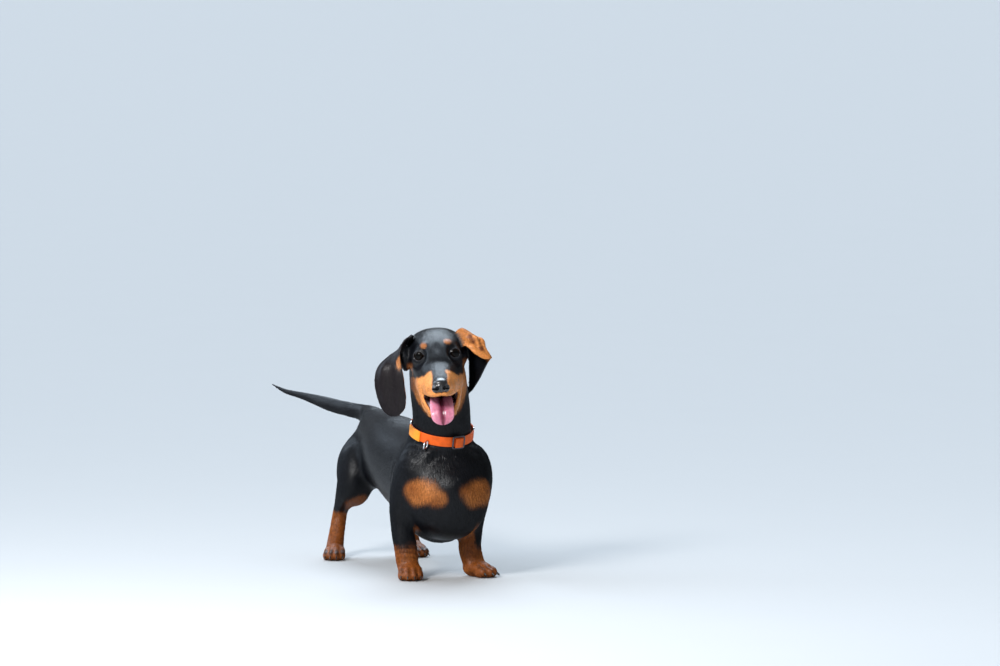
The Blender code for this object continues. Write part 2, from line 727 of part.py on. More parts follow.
def lid_cutter(name, frame):
    """A cone from the eye's middle outward, as wide as the gap between the lids."""
    wide, high = EYE_OPENING
    shape = outline(28, 2.0)
    shape[:, 1] *= 1 - 0.12 * np.abs(shape[:, 0]) ** 3
    rings = []
    for depth, spread in ((3, 0.86), (EYE_RADIUS, 1.0), (26, 1.7)):
        flat = np.full(len(shape), -float(depth))
        rings.append(np.stack([wide * spread * shape[:, 0], flat, high * spread * shape[:, 1]], axis=1))
    bm = bmesh.new()
    add_mesh(bm, *skin_of_rings(np.array(rings)), frame)
    return cutter_of(bm, name)


def make_eyes(nodes):
    """The eyeballs, each in a socket of its own shape behind the cut between the lids."""
    for side, name in ((-1, "right"), (1, "left")):
        frame = eye_axis(side)
        nodes["eye_" + name] = sphere_object("eye_" + name, frame, EYE_RADIUS, PARTS)
        socket = as_cutter(sphere_object("socket_" + name, frame, EYE_RADIUS + GAP, CUTTERS))
        combine(nodes["head"], socket, "DIFFERENCE")
        combine(nodes["head"], lid_cutter("lids_" + name, frame), "DIFFERENCE")
        keep_largest(nodes["head"])


def make_nose(nodes):
    """The nose leather with its two nostrils, seated in the end of the muzzle."""
    bm = bmesh.new()
    for centre, radii in NOSE_BLOBS:
        add_blob(bm, centre, radii, head_frame(), detail=3)
    nose = object_of(bm, "nose", PARTS)
    remesh(nose, NOSE_VOXEL)
    relax(nose.data, 8, np.zeros(len(nose.data.vertices)))
    points = points_of(nose.data)
    local = moved(points, head_frame().inverted())
    groove = near(local, *NOSE_GROOVE)
    set_points(nose.data, points - normals_of(nose.data) * groove[:, None])
    decimate(nose, NOSE_TRIANGLES)
    for side in (-1, 1):
        bm = bmesh.new()
        for (x, y, z), radii in (NOSTRIL, NOSTRIL_SLIT):
            add_blob(bm, (side * x, y, z), radii, head_frame(), detail=2)
        hole = cutter_of(bm, "nostril")
        remesh(hole, NOSE_VOXEL)
        decimate(hole, NOSTRIL_TRIANGLES)
        combine(nose, hole, "DIFFERENCE")
    keep_largest(nose)
    combine(nodes["head"], nose_seat(), "DIFFERENCE")
    nodes["nose"] = nose


def nose_seat():
    """The nose without its nostrils, larger by somewhat more than the gap, as both are faceted."""
    bm = bmesh.new()
    for centre, radii in NOSE_BLOBS:
        add_blob(bm, centre, [r + 1.3 * GAP for r in radii], head_frame(), detail=3)
    seat = cutter_of(bm, "nose_seat")
    remesh(seat, NOSE_VOXEL)
    decimate(seat, NOSE_TRIANGLES)
    return seat


def tongue_mesh(more):
    bm = bmesh.new()
    shape = {"steps": 2, "sides": 20, "squareness": 2.6, "groove": TONGUE_GROOVE}
    add_loft(bm, widened(TONGUE, more), head_frame(), **shape)
    return bm


def make_tongue(nodes):
    """The tongue, grooved along its middle, with its root set in the head."""
    nodes["tongue"] = object_of(tongue_mesh(0), "tongue", PARTS)
    combine(nodes["head"], cutter_of(tongue_mesh(GAP), "tongue_bed"), "DIFFERENCE")
    keep_largest(nodes["head"])


def ear_sheet(rows, ridges):
    """The middle of an ear's leaf, as a grid of points along and across it."""
    table = np.array(rows, float).reshape(len(rows), -1)
    along = smooth_rows(table, 2).reshape(-1, 3, 3)
    t = np.linspace(0, 1, EAR_ACROSS)[:, None]
    first, middle, last = along[:, None, 0], along[:, None, 1], along[:, None, 2]
    pull = 2 * middle - (first + last) / 2
    grid = first * (1 - t) ** 2 + pull * (2 * t * (1 - t)) + last * t**2
    normals = unit(np.cross(np.gradient(grid, axis=0), np.gradient(grid, axis=1)))
    place_along = np.linspace(0, 1, len(grid))[:, None]
    place_across = np.linspace(-1, 1, EAR_ACROSS)[None]
    long, wide = RIDGE_SPREAD
    for at, across, height in ridges:
        spread = ((place_along - at) / long) ** 2 + ((place_across - across) / wide) ** 2
        grid = grid + normals * (height * np.exp(-spread))[:, :, None]
    return grid


def ear_object(name, rows, ridges):
    grid = ear_sheet(rows, ridges)
    count, across = grid.shape[:2]
    faces = [
        (i * across + j, i * across + j + 1, (i + 1) * across + j + 1, (i + 1) * across + j)
        for i in range(count - 1)
        for j in range(across - 1)
    ]
    bm = bmesh.new()
    add_mesh(bm, grid.reshape(-1, 3), faces, head_frame())
    bmesh.ops.triangulate(bm, faces=bm.faces)
    ear = object_of(bm, name, PARTS)
    shell = ear.modifiers.new("leaf", "SOLIDIFY")
    shell.thickness = EAR_THICKNESS * MM
    shell.offset = 0
    bake(ear)
    return ear


def make_ears(nodes, around):
    """The ears' leaves, cut clear of what they grow from and lie against."""
    for name, rows, ridges in (
        ("ear_right", RIGHT_EAR, RIGHT_EAR_RIDGES),
        ("ear_left", LEFT_EAR, LEFT_EAR_RIDGES),
    ):
        ear = ear_object(name, rows, ridges)
        combine(ear, around, "DIFFERENCE")
        keep_largest(ear)
        nodes[name] = ear


def collar_frame(turn, out=0.0):
    """A frame on the collar's oval: X along the band, Y into the neck and Z along the neck."""
    wide, deep = COLLAR_OVAL
    angle = math.radians(turn)
    place = Vector((wide * math.sin(angle), -deep * math.cos(angle), 0))
    way = Vector((math.sin(angle) / wide, -math.cos(angle) / deep, 0)).normalized()
    facing = math.degrees(math.atan2(way.x, -way.y))
    ring = Matrix.Translation(COLLAR_CENTRE) @ turned(pitch=COLLAR_TILT)
    return ring @ Matrix.Translation(place + way * out) @ turned(facing)


def band_object(name, start, end, out, height, thickness):
    """A length of webbing round the neck, from one turn to another."""
    steps = max(4, int(abs(end - start) / BAND_STEP))
    half, bevel = height / 2, BAND_BEVEL
    section = [(0, -half), (0, half), (bevel - thickness, half), (-thickness, half - bevel)]
    section += [(-thickness, bevel - half), (bevel - thickness, -half)]
    rings = []
    for turn in np.linspace(start, end, steps + 1):
        frame = collar_frame(turn, out)
        rings.append(moved([(0, depth, z) for depth, z in section], frame))
    bm = bmesh.new()
    add_mesh(bm, *skin_of_rings(np.array(rings)))
    return object_of(bm, name, PARTS)


def wire_object(name, corners, frame, wire, rounding):
    """A closed ring of round wire through the corners, which are rounded off."""
    points = []
    count = len(corners)
    for k, corner in enumerate(corners):
        here = Vector(corner)
        before, after = Vector(corners[k - 1]) - here, Vector(corners[(k + 1) % count]) - here
        start = here + before.normalized() * rounding
        end = here + after.normalized() * rounding
        for t in (0.0, 0.5, 1.0):
            points.append(start * (1 - t) ** 2 + here * 2 * t * (1 - t) + end * t**2)
    curve = bpy.data.curves.new(name, "CURVE")
    curve.dimensions = "3D"
    curve.bevel_depth = wire * MM
    curve.bevel_resolution = 2
    line = curve.splines.new("POLY")
    line.use_cyclic_u = True
    line.points.add(len(points) - 1)
    for point, place in zip(line.points, points):
        point.co = (*(frame @ place * MM), 1)
    found = bpy.data.objects.new(name, curve)
    PARTS.objects.link(found)
    return found


def rectangle(wide, high):
    signs = ((-1, -1), (1, -1), (1, 1), (-1, 1))
    return [(across * wide / 2, 0, up * high / 2) for across, up in signs]


def make_bands(nodes):
    """The webbing, in a front and a back length between the two wire loops."""
    right, left = LOOP_TURNS
    clear = math.degrees((LOOP_SIZE[0] / 2 + LOOP_WIRE + GAP) / COLLAR_OVAL[0])
    for name, start, end in (("front", right, left), ("back", left, right + 360)):
        name = "collar_band_" + name
        nodes[name] = band_object(name, start + clear, end - clear, 0, BAND_HEIGHT, BAND_THICKNESS)


def make_loops(nodes):
    for side, turn in zip(("right", "left"), LOOP_TURNS):
        name = "collar_loop_" + side
        frame = collar_frame(turn, BAND_THICKNESS / 2)
        nodes[name] = wire_object(name, rectangle(*LOOP_SIZE), frame, LOOP_WIRE, LOOP_ROUNDING)


def make_keeper():
    out = BAND_THICKNESS + GAP
    height = BAND_HEIGHT + KEEPER_OVERHANG
    return band_object("collar_keeper", *KEEPER_TURNS, out, height, KEEPER_THICKNESS)


def make_slider():
    frame = collar_frame(SLIDER_TURN, BAND_THICKNESS + GAP + SLIDER_WIRE)
    return wire_object("collar_slider", rectangle(*SLIDER_SIZE), frame, SLIDER_WIRE, SLIDER_ROUNDING)


def make_d_ring():
    """A D of wire that stands out from the lower half of the band."""
    wide, high = RING_SIZE
    drop = Matrix.Translation((0, 0, 1 - BAND_HEIGHT / 2))
    frame = collar_frame(RING_TURN, BAND_THICKNESS + GAP + RING_WIRE) @ turned(90) @ drop
    corners = [(0, 0, high / 2), (-wide, 0, high / 4), (-wide, 0, -high / 2), (0, 0, -high / 2)]
    return wire_object("collar_d_ring", corners, frame, RING_WIRE, RING_ROUNDING)


def make_collar(nodes):
    make_bands(nodes)
    make_loops(nodes)
    nodes["collar_keeper"] = make_keeper()
    nodes["collar_slider"] = make_slider()
    nodes["collar_d_ring"] = make_d_ring()


def seat_collar(nodes):
    """Clears the neck and torso by the gap where the band presses into the coat."""
    half, deep = COLLAR_BED_HALF, COLLAR_BED_DEPTH
    section = [(0, 0, -half), (0, -deep, -half), (0, -deep, half), (0, 0, half)]
    rings = [moved(section, collar_frame(turn, -GAP)) for turn in np.arange(0, 360, 6)]
    rings.append(rings[0])
    bm = bmesh.new()
    add_mesh(bm, *skin_of_rings(np.array(rings), closed_ends=False))
    bmesh.ops.remove_doubles(bm, verts=bm.verts, dist=0.01 * MM)
    bed = cutter_of(bm, "collar_bed")
    for name in ("neck", "torso"):
        combine(nodes[name], bed, "DIFFERENCE")
        keep_largest(nodes[name])


def plain_material(name, colour, roughness, metallic=0.0):
    found = bpy.data.materials.new(name)
    found.use_nodes = True
    shader = found.node_tree.nodes["Principled BSDF"]
    shader.inputs["Base Color"].default_value = (*colour, 1)
    shader.inputs["Roughness"].default_value = roughness
    shader.inputs["Metallic"].default_value = metallic
    return found


def black_coat(name):
    return plain_material("black coat of " + name, BLACK_COAT, 0.45)


def tan_coat(name):
    return plain_material("tan coat of " + name, TAN_COAT, 0.6)


def wet_eye(name):
    return plain_material("wet surface of " + name, EYE_BROWN, 0.05)


def nose_leather(name):
    return plain_material("leather of " + name, NOSE_BLACK, 0.3)


def tongue_flesh(name):
    return plain_material("flesh of " + name, TONGUE_PINK, 0.35)


def orange_webbing(name):
    return plain_material("orange webbing of " + name, WEBBING_ORANGE, 0.7)


def amber_webbing(name):
    return plain_material("amber webbing of " + name, WEBBING_AMBER, 0.7)


def gunmetal(name):
    return plain_material("gunmetal of " + name, GUNMETAL_GREY, 0.35, 1.0)


def bright_steel(name):
    return plain_material("steel of " + name, STEEL_GREY, 0.25, 1.0)


def look_of(name):
    """The material of a node, by the first word here that is in its name."""
    looks = {
        "paw": tan_coat,
        "eye": wet_eye,
        "nose": nose_leather,
        "tongue": tongue_flesh,
        "collar_band": orange_webbing,
        "collar_keeper": amber_webbing,
        "collar_slider": gunmetal,
        "collar": bright_steel,
    }
    return next((look for word, look in looks.items() if word in name), black_coat)(name)


def finish(obj):
    """Gives the object a material of its own and smooth shading with its sharp edges kept."""
    obj.data.materials.clear()
    obj.data.materials.append(look_of(obj.name))
    if obj.type == "MESH":
        obj.data.shade_smooth()
        obj.data.set_sharp_from_angle(angle=math.radians(SHARP_ANGLE))


def all_corners(nodes):
    graph = bpy.context.evaluated_depsgraph_get()
    found = []
    for obj in nodes.values():
        mesh = bpy.data.meshes.new_from_object(obj.evaluated_get(graph), depsgraph=graph)
        points = points_of(mesh)
        found += [points.min(axis=0), points.max(axis=0)]
        bpy.data.meshes.remove(mesh)
    return np.array(found)


def centre_on_origin(nodes):
    """Moves everything so that the origin is on the floor under the middle of the whole box."""
    corners = all_corners(nodes)
    low, high = corners.min(axis=0), corners.max(axis=0)
    shift = Vector((-(low[0] + high[0]) / 2, -(low[1] + high[1]) / 2, -low[2])) * MM
    for obj in bpy.data.objects:
        obj.data.transform(Matrix.Translation(shift))
    return shift


def make_dog():
    nodes = {}
    body = flesh()
    shape_flesh(body)
    thin_flesh(body)
    around = grown(body, "around")
    make_ears(nodes, around)
    nodes |= split_body(body)
    make_paws(nodes, "fore", FOREPAWS, FOREPAW_WIDTH, FOREPAW_CUT)
    make_paws(nodes, "hind", HINDPAWS, HINDPAW_WIDTH, HINDPAW_CUT)
    make_eyes(nodes)
    make_nose(nodes)
    make_tongue(nodes)
    make_collar(nodes)
    seat_collar(nodes)
    for obj in nodes.values():
        finish(obj)
    return nodes


for old in list(bpy.data.objects):
    bpy.data.objects.remove(old, do_unlink=True)
PARTS = part_collection("dachshund")
CUTTERS = part_collection("cutters")
NODES = make_dog()
SHIFT = centre_on_origin(NODES)
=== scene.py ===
"""A young smooth-haired dachshund in a collar, in its coat, at life size.

Every object is in metres with +Z up. The tables hold millimetres in the dog's own frame: it faces
-Y, its left side is +X, and the origin is the floor point between its forefeet. Each finished piece
is moved from there to its place in the frame.
A row of a loft is the centre of a section, then its half width, its reach over the centre (up, or
to the front on an upright part) and its reach under the centre (down, or to the back).
"""

import json
import math

import bmesh
import bpy
import numpy as np
from mathutils import Matrix, Vector
from mathutils.bvhtree import BVHTree
from mathutils.kdtree import KDTree

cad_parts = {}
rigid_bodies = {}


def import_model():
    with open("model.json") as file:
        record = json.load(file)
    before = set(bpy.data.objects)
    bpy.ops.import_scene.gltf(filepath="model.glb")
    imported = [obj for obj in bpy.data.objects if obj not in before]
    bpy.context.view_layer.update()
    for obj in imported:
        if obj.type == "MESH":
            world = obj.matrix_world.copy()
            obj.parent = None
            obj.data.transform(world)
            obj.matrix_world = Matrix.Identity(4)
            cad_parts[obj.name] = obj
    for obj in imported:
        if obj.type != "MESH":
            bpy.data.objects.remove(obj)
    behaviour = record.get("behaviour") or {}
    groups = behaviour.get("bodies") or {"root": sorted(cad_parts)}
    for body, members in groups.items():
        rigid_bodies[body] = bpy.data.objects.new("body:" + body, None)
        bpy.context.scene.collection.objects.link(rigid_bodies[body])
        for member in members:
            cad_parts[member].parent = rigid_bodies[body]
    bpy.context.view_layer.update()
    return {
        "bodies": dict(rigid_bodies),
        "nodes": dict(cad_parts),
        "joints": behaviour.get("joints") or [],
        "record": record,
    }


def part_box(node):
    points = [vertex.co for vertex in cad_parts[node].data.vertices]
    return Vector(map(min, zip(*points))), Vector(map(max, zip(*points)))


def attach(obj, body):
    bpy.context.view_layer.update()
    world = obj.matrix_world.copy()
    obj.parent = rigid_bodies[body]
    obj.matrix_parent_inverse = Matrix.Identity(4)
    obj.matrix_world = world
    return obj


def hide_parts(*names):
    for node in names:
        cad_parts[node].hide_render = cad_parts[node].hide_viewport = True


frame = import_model()

MM = 0.001
SEED = 11
FLESH_VOXEL, SKIN_VOXEL, NOSE_VOXEL = 1.3, 1.2, 0.45
FLESH_NODES = (
    "head", "neck", "torso", "tail", "ear_right", "ear_left",
    "foreleg_right", "foreleg_left", "hindleg_right", "hindleg_left",
    "forepaw_right", "forepaw_left", "hindpaw_right", "hindpaw_left",
)

# The camera looks at the floor between the forefeet from this side, height and distance
CAMERA_SIDE, CAMERA_HEIGHT, CAMERA_DISTANCE = -20.0, 6.5, 6.6667
CAMERA_TURN, CAMERA_DIP = 20.592, 3.985
CAMERA_LENS, CAMERA_SENSOR = 200.0, 36.0

# The head, in its own frame: the origin is midway between the eyes and -Y is forward
HEAD_PLACE = (-21.3, -38.0, 270.5)
HEAD_YAW, HEAD_ROLL, HEAD_PITCH = -18.5, -4.7, 3.5
SKULL = [
    (0, -74, -30, 9, 6, 6),
    (0, -70, -29, 12.5, 9, 9.5),
    (0, -60, -28, 15.5, 12.5, 12.5),
    (0, -48, -27, 17, 14.5, 13.5),
    (0, -35, -25, 18.5, 16.5, 15),
    (0, -20, -22, 22.5, 20, 17),
    (0, -8, -16, 27.5, 22.5, 22),
    (0, 5, -10, 32, 26, 27),
    (0, 20, -5, 36, 28, 32),
    (0, 35, -3, 37.5, 30, 33),
    (0, 50, -2, 35.5, 29, 32),
    (0, 63, -1, 29, 24.5, 28),
    (0, 73, 0, 18, 17, 20),
    (0, 78, 1, 6, 6, 8),
]
JAW = [
    (0, -62, -47, 7, 3, 5),
    (0, -57, -47, 10.5, 4.5, 6.5),
    (0, -45, -48, 13, 5.5, 7.5),
    (0, -30, -48.5, 16, 6.5, 8.5),
    (0, -12, -48, 20.5, 8, 10),
    (0, 8, -46, 26, 12, 12),
    (0, 25, -42, 30, 16, 14),
    (0, 40, -38, 29, 18, 14),
    (0, 52, -35, 20, 12, 10),
]
JAW_HINGE = (0, 35, -28)
JAW_OPEN = 16.0
CHEEK = ((0, 7, -44), (27.5, 20, 14))
EYE_RADIUS = 9.3
EYE_PLACE = (18.8, 4.4, 0.0)
EYE_TURN, EYE_LIFT = 25.0, 4.0
EYE_OPENING = (6.7, 5.9)
CORNER_REACH, CORNER_SPREAD, CORNER_DROP = 0.17, 0.3, 0.7
LID_THICKNESS = 1.7
# Round each eye the flesh is pressed back to the lids: fully within the rim, and less out to the reach
ORBIT_RIM, ORBIT_REACH, ORBIT_DEPTH, ORBIT_SLOPE = 8.2, 17.0, 24.0, -0.12
# What rounds the muzzle's sides out into the cheeks, mirrored too
MUZZLE_FILL = [
    ((13.5, -42, -29), (7, 22, 8)),
    ((17, -24, -29.5), (6.8, 24, 9)),
    ((21.5, -5, -33), (7.6, 26, 12)),
]
# The hanging edge of the upper lip and the edge of the lower one, mirrored for the other side
UPPER_LIP = [
    (0.5, -72.5, -36.5, 3.6, 3.5, 3.4),
    (6, -70, -36.8, 4, 4.5, 4.2),
    (11.5, -60, -36.8, 4, 5.5, 5),
    (15.5, -45, -37, 3.8, 6, 5.2),
    (19, -32, -37.2, 3.6, 5, 4),
    (21.5, -23, -38.2, 3, 3.6, 2.8),
    (24, -18, -39.5, 2.2, 2.5, 2.5),
]
LOWER_LIP = [
    (24, -20, -41, 2.2, 2.2, 9),
    (22.5, -28, -47, 2.4, 2.4, 10),
    (19, -37, -55, 2.4, 2.4, 8),
    (14.6, -45, -62, 2.5, 2.4, 6),
    (9, -52, -68, 2.6, 2.5, 4),
    (0.5, -55, -71, 3, 2.6, 3),
]
# What stands between the lower lip and the jaw, mirrored too
LIP_WALL = [
    ((19, -10, -52), (5.5, 13, 9)),
    ((19.5, -21, -54), (4.2, 11, 8.5)),
    ((17.5, -30, -58), (4, 10, 7)),
    ((14, -40, -64), (4, 9, 5)),
]
# The floor of the mouth, under the tongue
MOUTH_FLOOR = [
    (0, -6, -55, 17, 4, 8),
    (0, -20, -55.5, 16.5, 4.6, 8),
    (0, -33, -58.5, 14.5, 5.4, 8),
    (0, -43, -63, 12, 5.5, 7),
    (0, -50, -67.5, 8.5, 5, 5),
    (0, -54, -70.5, 4, 2.5, 3),
]
TONGUE = [
    (0, -8, -46, 11, 3.6, 3.6),
    (0, -22, -46.8, 12.5, 3.6, 3.6),
    (0, -36, -49, 13.2, 3.2, 3.4),
    (0, -48, -54, 13.8, 2.8, 3),
    (0, -55.5, -60, 13.9, 2.6, 2.6),
    (0, -58.8, -66.5, 13.2, 2.4, 2.3),
    (0, -59.4, -71, 11, 2, 2),
    (0, -59, -74.2, 7, 1.5, 1.5),
    (0, -58.5, -75.8, 2.5, 0.8, 0.8),
]
TONGUE_GROOVE, GROOVE_WIDTH = 0.75, 0.16
NOSE_BLOBS = [
    ((0, -70, -28), (9.5, 8, 7)),
    ((0, -69.5, -24.6), (9.2, 7.5, 5.6)),
    ((0, -66.5, -23.6), (8.8, 7.5, 5.2)),
    ((5.4, -72.5, -30), (5.3, 5.5, 5.5)),
    ((-5.4, -72.5, -30), (5.3, 5.5, 5.5)),
    ((0, -72.5, -31.5), (4.5, 4.5, 4.2)),
]
NOSE_GROOVE = ((0, -79, -31), (1.6, 6, 7))
NOSTRIL = ((4.4, -78, -29.6), (2.3, 4.6, 2.5))
NOSTRIL_SLIT = ((8.2, -75.5, -30.4), (3.0, 3.2, 1.0))
# Each stroke: its place, its reach and how far it lifts the surface, on both sides of the head
HEAD_STROKES = [
    ((13, -13, -4), (9, 11, 8), -3.2),
    ((10, -3, 0), (5, 8, 7), -1.4),
    ((23, -9, -13), (9, 10, 7), -1.2),
    ((15, 1, 13), (9, 9, 6), 1.5),
    ((0, -6, 8), (7, 15, 10), -1.4),
    ((33, 10, 10), (9, 13, 12), -1.8),
    ((15, -52, -33), (8, 15, 8), 1.5),
    ((0, -76, -38), (2.5, 6, 6), -1.2),
]

# Strokes of the back, the croup, the root of the tail and the hollow under it
BODY_STROKES = [
    ((0, 85, 180), (60, 80, 44), -2.8),
    ((0, 208, 188), (44, 58, 40), -3.8),
    ((-2, 270, 184), (22, 38, 18), 4.2),
    ((-15, 269, 166), (22, 36, 21), -4.8),
    ((15, 269, 166), (22, 36, 21), -4.8),
]

# Neck, trunk and tail
NECK = [
    (0, 25, 118, 44, 50, 44),
    (0, 14, 150, 41, 46, 42),
    (0, 5, 176, 36, 37, 36),
    (-3, -3, 200, 34.5, 36, 35),
    (-8, -10, 225, 34, 36, 41),
    (-12, -16, 250, 32, 34, 48),
    (-14, -18, 266, 27, 28, 48),
]
TRUNK = [
    (3, -48, 110, 12, 14, 16),
    (3, -40, 108, 36, 40, 42),
    (3, -25, 106, 49, 56, 60),
    (3, 0, 111, 52, 66, 71),
    (2, 35, 112, 49, 64, 71),
    (1, 70, 118, 47, 58, 62),
    (0, 110, 125, 46, 52, 56),
    (0, 150, 131, 44, 49, 49),
    (0, 190, 133, 38, 52, 48),
    (0, 225, 134, 32, 53, 46),
    (0, 255, 136, 26, 50, 40),
    (0, 278, 138, 17, 37, 28),
    (0, 288, 140, 8, 18, 14),
]
TAIL = [
    (1, 262, 168, 13, 15, 15),
    (-1, 280, 172.5, 10, 11, 11),
    (-12, 305, 178, 9.3, 9.3, 9.3),
    (-20, 322, 180, 9, 9, 9),
    (-29, 340, 183, 8.4, 8.4, 8.4),
    (-40, 362, 187.5, 6.4, 6.4, 6.4),
    (-52, 382, 191.5, 4.4, 4.4, 4.4),
    (-64, 402, 195, 3.2, 3.2, 3.2),
    (-76, 423, 203, 1.3, 1.3, 1.3),
]
# Swellings of the chest, shoulders, upper arms and haunches: centre and radii
SWELLINGS = [
    ((3, -30, 104), (30, 24, 34)),
    ((-36, 4, 118), (21, 32, 42)),
    ((42, 4, 118), (21, 32, 42)),
    ((-43, 20, 102), (16, 24, 24)),
    ((52.5, 20, 102), (16, 24, 24)),
    ((-23, 250, 128), (15, 27, 24)),
    ((23, 250, 128), (15, 27, 24)),
    ((-1, 267, 167), (10, 25, 17)),
    ((-29, 236, 106), (22, 38, 43)),
    ((29, 236, 106), (22, 38, 43)),
]

# Legs from the floor up: the centres of paw, wrist or hock, forearm, elbow or stifle, and hip
FORELEGS = {
    "right": [(-45, -6, 11), (-46, -1, 22), (-47, 2, 38), (-48.5, 8, 62), (-48, 12, 88), (-42, 10, 124)],
    "left": [(39, -6, 11), (37, -1, 22), (35, 2, 36), (40, 8, 62), (47, 12, 88), (48, 10, 124)],
}
FORELEG_GIRTH = [
    (13, 11, 11),
    (13.5, 11, 11),
    (14, 12, 12),
    (14.5, 14, 15),
    (15.5, 18, 19),
    (15, 25, 26),
]
HINDLEGS = {
    "right": [(-56, 237, 11), (-52, 243, 25), (-43, 254, 55), (-44, 238, 74), (-44, 213, 95), (-30, 234, 124)],
    "left": [(46, 237, 11), (45, 243, 25), (41, 254, 55), (44, 238, 74), (44, 213, 95), (30, 234, 124)],
}
HINDLEG_GIRTH = [
    (11, 10, 9.5),
    (10, 10, 10),
    (9, 10.5, 12),
    (11.5, 15, 13),
    (15.5, 22, 25),
    (20, 36, 32),
]
# Paws: the middle of the foot on the floor and the turn of its toes, in degrees
FOREPAWS = {"right": ((-45, -9), -17.0), "left": ((41, -8), 32.0)}
HINDPAWS = {"right": ((-58, 230), -24.0), "left": ((46, 229), 2.0)}
FOREPAW_WIDTH, HINDPAW_WIDTH = 32.0, 29.0
# In widths of the paw: the foot's body, a toe and its knuckle, each a centre and radii
PAW_BODY = ((0, 0.1, 0.33), (0.43, 0.5, 0.36))
TOES = [(-0.34, -0.40), (-0.12, -0.58), (0.12, -0.58), (0.34, -0.40)]
TOE_PLACE, TOE_SIZE = (1.0, 0.0, 0.2), (0.145, 0.27, 0.215)
KNUCKLE_PLACE, KNUCKLE_SIZE = (0.9, 0.26, 0.33), (0.15, 0.26, 0.2)
CLAW_LENGTH, CLAW_RADIUS, CLAW_DROP = 7.5, 1.5, 0.28
CLAW_PLACE, CLAW_SPLAY, CLAW_PITCH = (1.03, -0.15, 0.2), 30.0, 14.0

# Ears, in the head's frame. Each row runs across the leaf: back edge, middle and front edge
EAR_THICKNESS = 2.4
EAR_ACROSS = 25
EAR_BASES = [((-38, 16, -2), (7.5, 9, 18)), ((32, 18, -4), (6, 8, 12))]
RIGHT_EAR = [
    [(-26, 36, 21), (-27, 23, 23), (-28, 10, 22)],
    [(-35, 35, 13), (-36.5, 21, 16), (-36.8, 8, 19)],
    [(-45, 33, 5), (-45.5, 17, 6), (-42.5, 4, 8)],
    [(-57, 31, -1), (-53, 12, -2), (-43.6, -0.5, -1)],
    [(-68, 27, -9), (-59, 6, -10), (-42.6, -3.5, -11)],
    [(-74, 24, -19), (-61, 3, -20), (-41.4, -6.5, -21)],
    [(-76, 21, -32), (-60.5, 1, -33), (-40.9, -8, -34)],
    [(-74.6, 18, -46), (-59.5, 0, -47), (-40.7, -9, -48)],
    [(-71.4, 13, -58), (-58.5, 0, -59), (-42.8, -7, -59.5)],
    [(-67, 9, -65.5), (-58, 1, -66), (-47.6, -5, -66)],
    [(-62.5, 5, -69), (-57.5, 2, -70), (-51.8, -1, -69)],
]
LEFT_EAR = [
    [(22, 22, 20), (26, 16, 14), (30, 10, 4)],
    [(26, 23, 23.5), (33, 13, 15), (35.5, 6, 6)],
    [(28.5, 24, 25), (40, 9, 14), (43.5, 1, -2)],
    [(30, 24, 25.5), (46, 8, 13), (54, -1, -9.5)],
    [(31, 25, 25.8), (50, 11, 12.5), (62, 2, -11.5)],
    [(32.5, 29, 25), (52.5, 16.5, 10.5), (64.8, 8, -11)],
    [(35, 34, 21), (52, 23, 2), (61.5, 13.5, -15)],
    [(38, 39, 4), (48, 28, -12), (56.5, 17.5, -23)],
    [(38.5, 40, -16), (44, 31, -27), (50.5, 21, -34)],
    [(37, 38, -36), (40.5, 30, -42), (43.5, 25, -44.5)],
    [(35.5, 32, -49), (36.5, 30, -52), (38, 28, -51.5)],
]
# Ridges that cross the folded leaf: place along it, place across it, and height
LEFT_RIDGE_SPREAD, RIGHT_RIDGE_SPREAD = (0.04, 0.24), (0.13, 0.22)
LEFT_EAR_RIDGES = [
    (0.12, 0.4, 2.4), (0.19, 0.1, -4.0), (0.26, 0.35, 3.8), (0.32, 0.0, -4.4),
    (0.385, 0.4, 3.8), (0.445, 0.15, -4.2), (0.51, 0.5, 3.2), (0.24, -0.6, 2.0),
    (0.4, -0.55, 2.8), (0.54, -0.3, 2.6),
]
RIGHT_EAR_RIDGES = [
    (0.42, -0.25, 2.2), (0.6, -0.4, 2.0), (0.78, -0.35, 1.6), (0.5, 0.3, -2.2), (0.7, 0.2, -2.0),
    (0.36, -0.75, -1.4),
]

# The collar: an oval band, lower at the throat
COLLAR_CENTRE = (0.5, 4.5, 176.5)
COLLAR_TILT = 17.0
COLLAR_OVAL = (36.8, 38.4)
BAND_HEIGHT, BAND_THICKNESS = 12.0, 1.5
LOOP_TURNS = (-107.0, 68.0)
KEEPER_TURNS = (-99.0, -62.0)
SLIDER_TURN = 10.0
RING_TURN = -45.0
LOOP_SIZE, LOOP_WIRE = (5.5, 15.0), 1.0
SLIDER_SIZE, SLIDER_WIRE = (15.0, 14.6), 1.1
RING_SIZE, RING_WIRE = (9.0, 9.5), 0.9
LOOP_ROUNDING, SLIDER_ROUNDING, RING_ROUNDING = 1.4, 2.2, 2.5
BAND_STEP = 2.5
KEEPER_THICKNESS, KEEPER_OVERHANG = 1.2, 0.8

# How far the skin lies under the coat's surface
COAT_DEPTH, FINE_COAT_DEPTH = 0.9, 0.35

# Tan marks of the head, in its frame. The muzzle is tan under a line: place along it, then its height
TAN_LINE = [(-90, -12), (-46, -12), (-38, -18.5), (-24, -22), (-6, -25), (12, -25.5), (30, -30)]
BRIDGE_HALF = 8.6
# Painted shade in the hollows of the folded left ear: their centres, then the reach of each
EAR_SHADE_HOLLOWS, EAR_SHADE_REACH = [(40.5, 10, 17), (43.5, 9, 12), (53, 4, 2.5)], (5.4, 14, 4.6)
BROW_SPOTS = [((-14.4, -4, 12.4), (4.3, 9, 3.6)), ((13.9, -2, 14.6), (5.4, 9, 4.0))]
JAW_BACK_LINE = [(-90, -4), (-73, -1), (-60, 5), (-46, 13), (-39, 22), (-25, 24), (0, 24)]
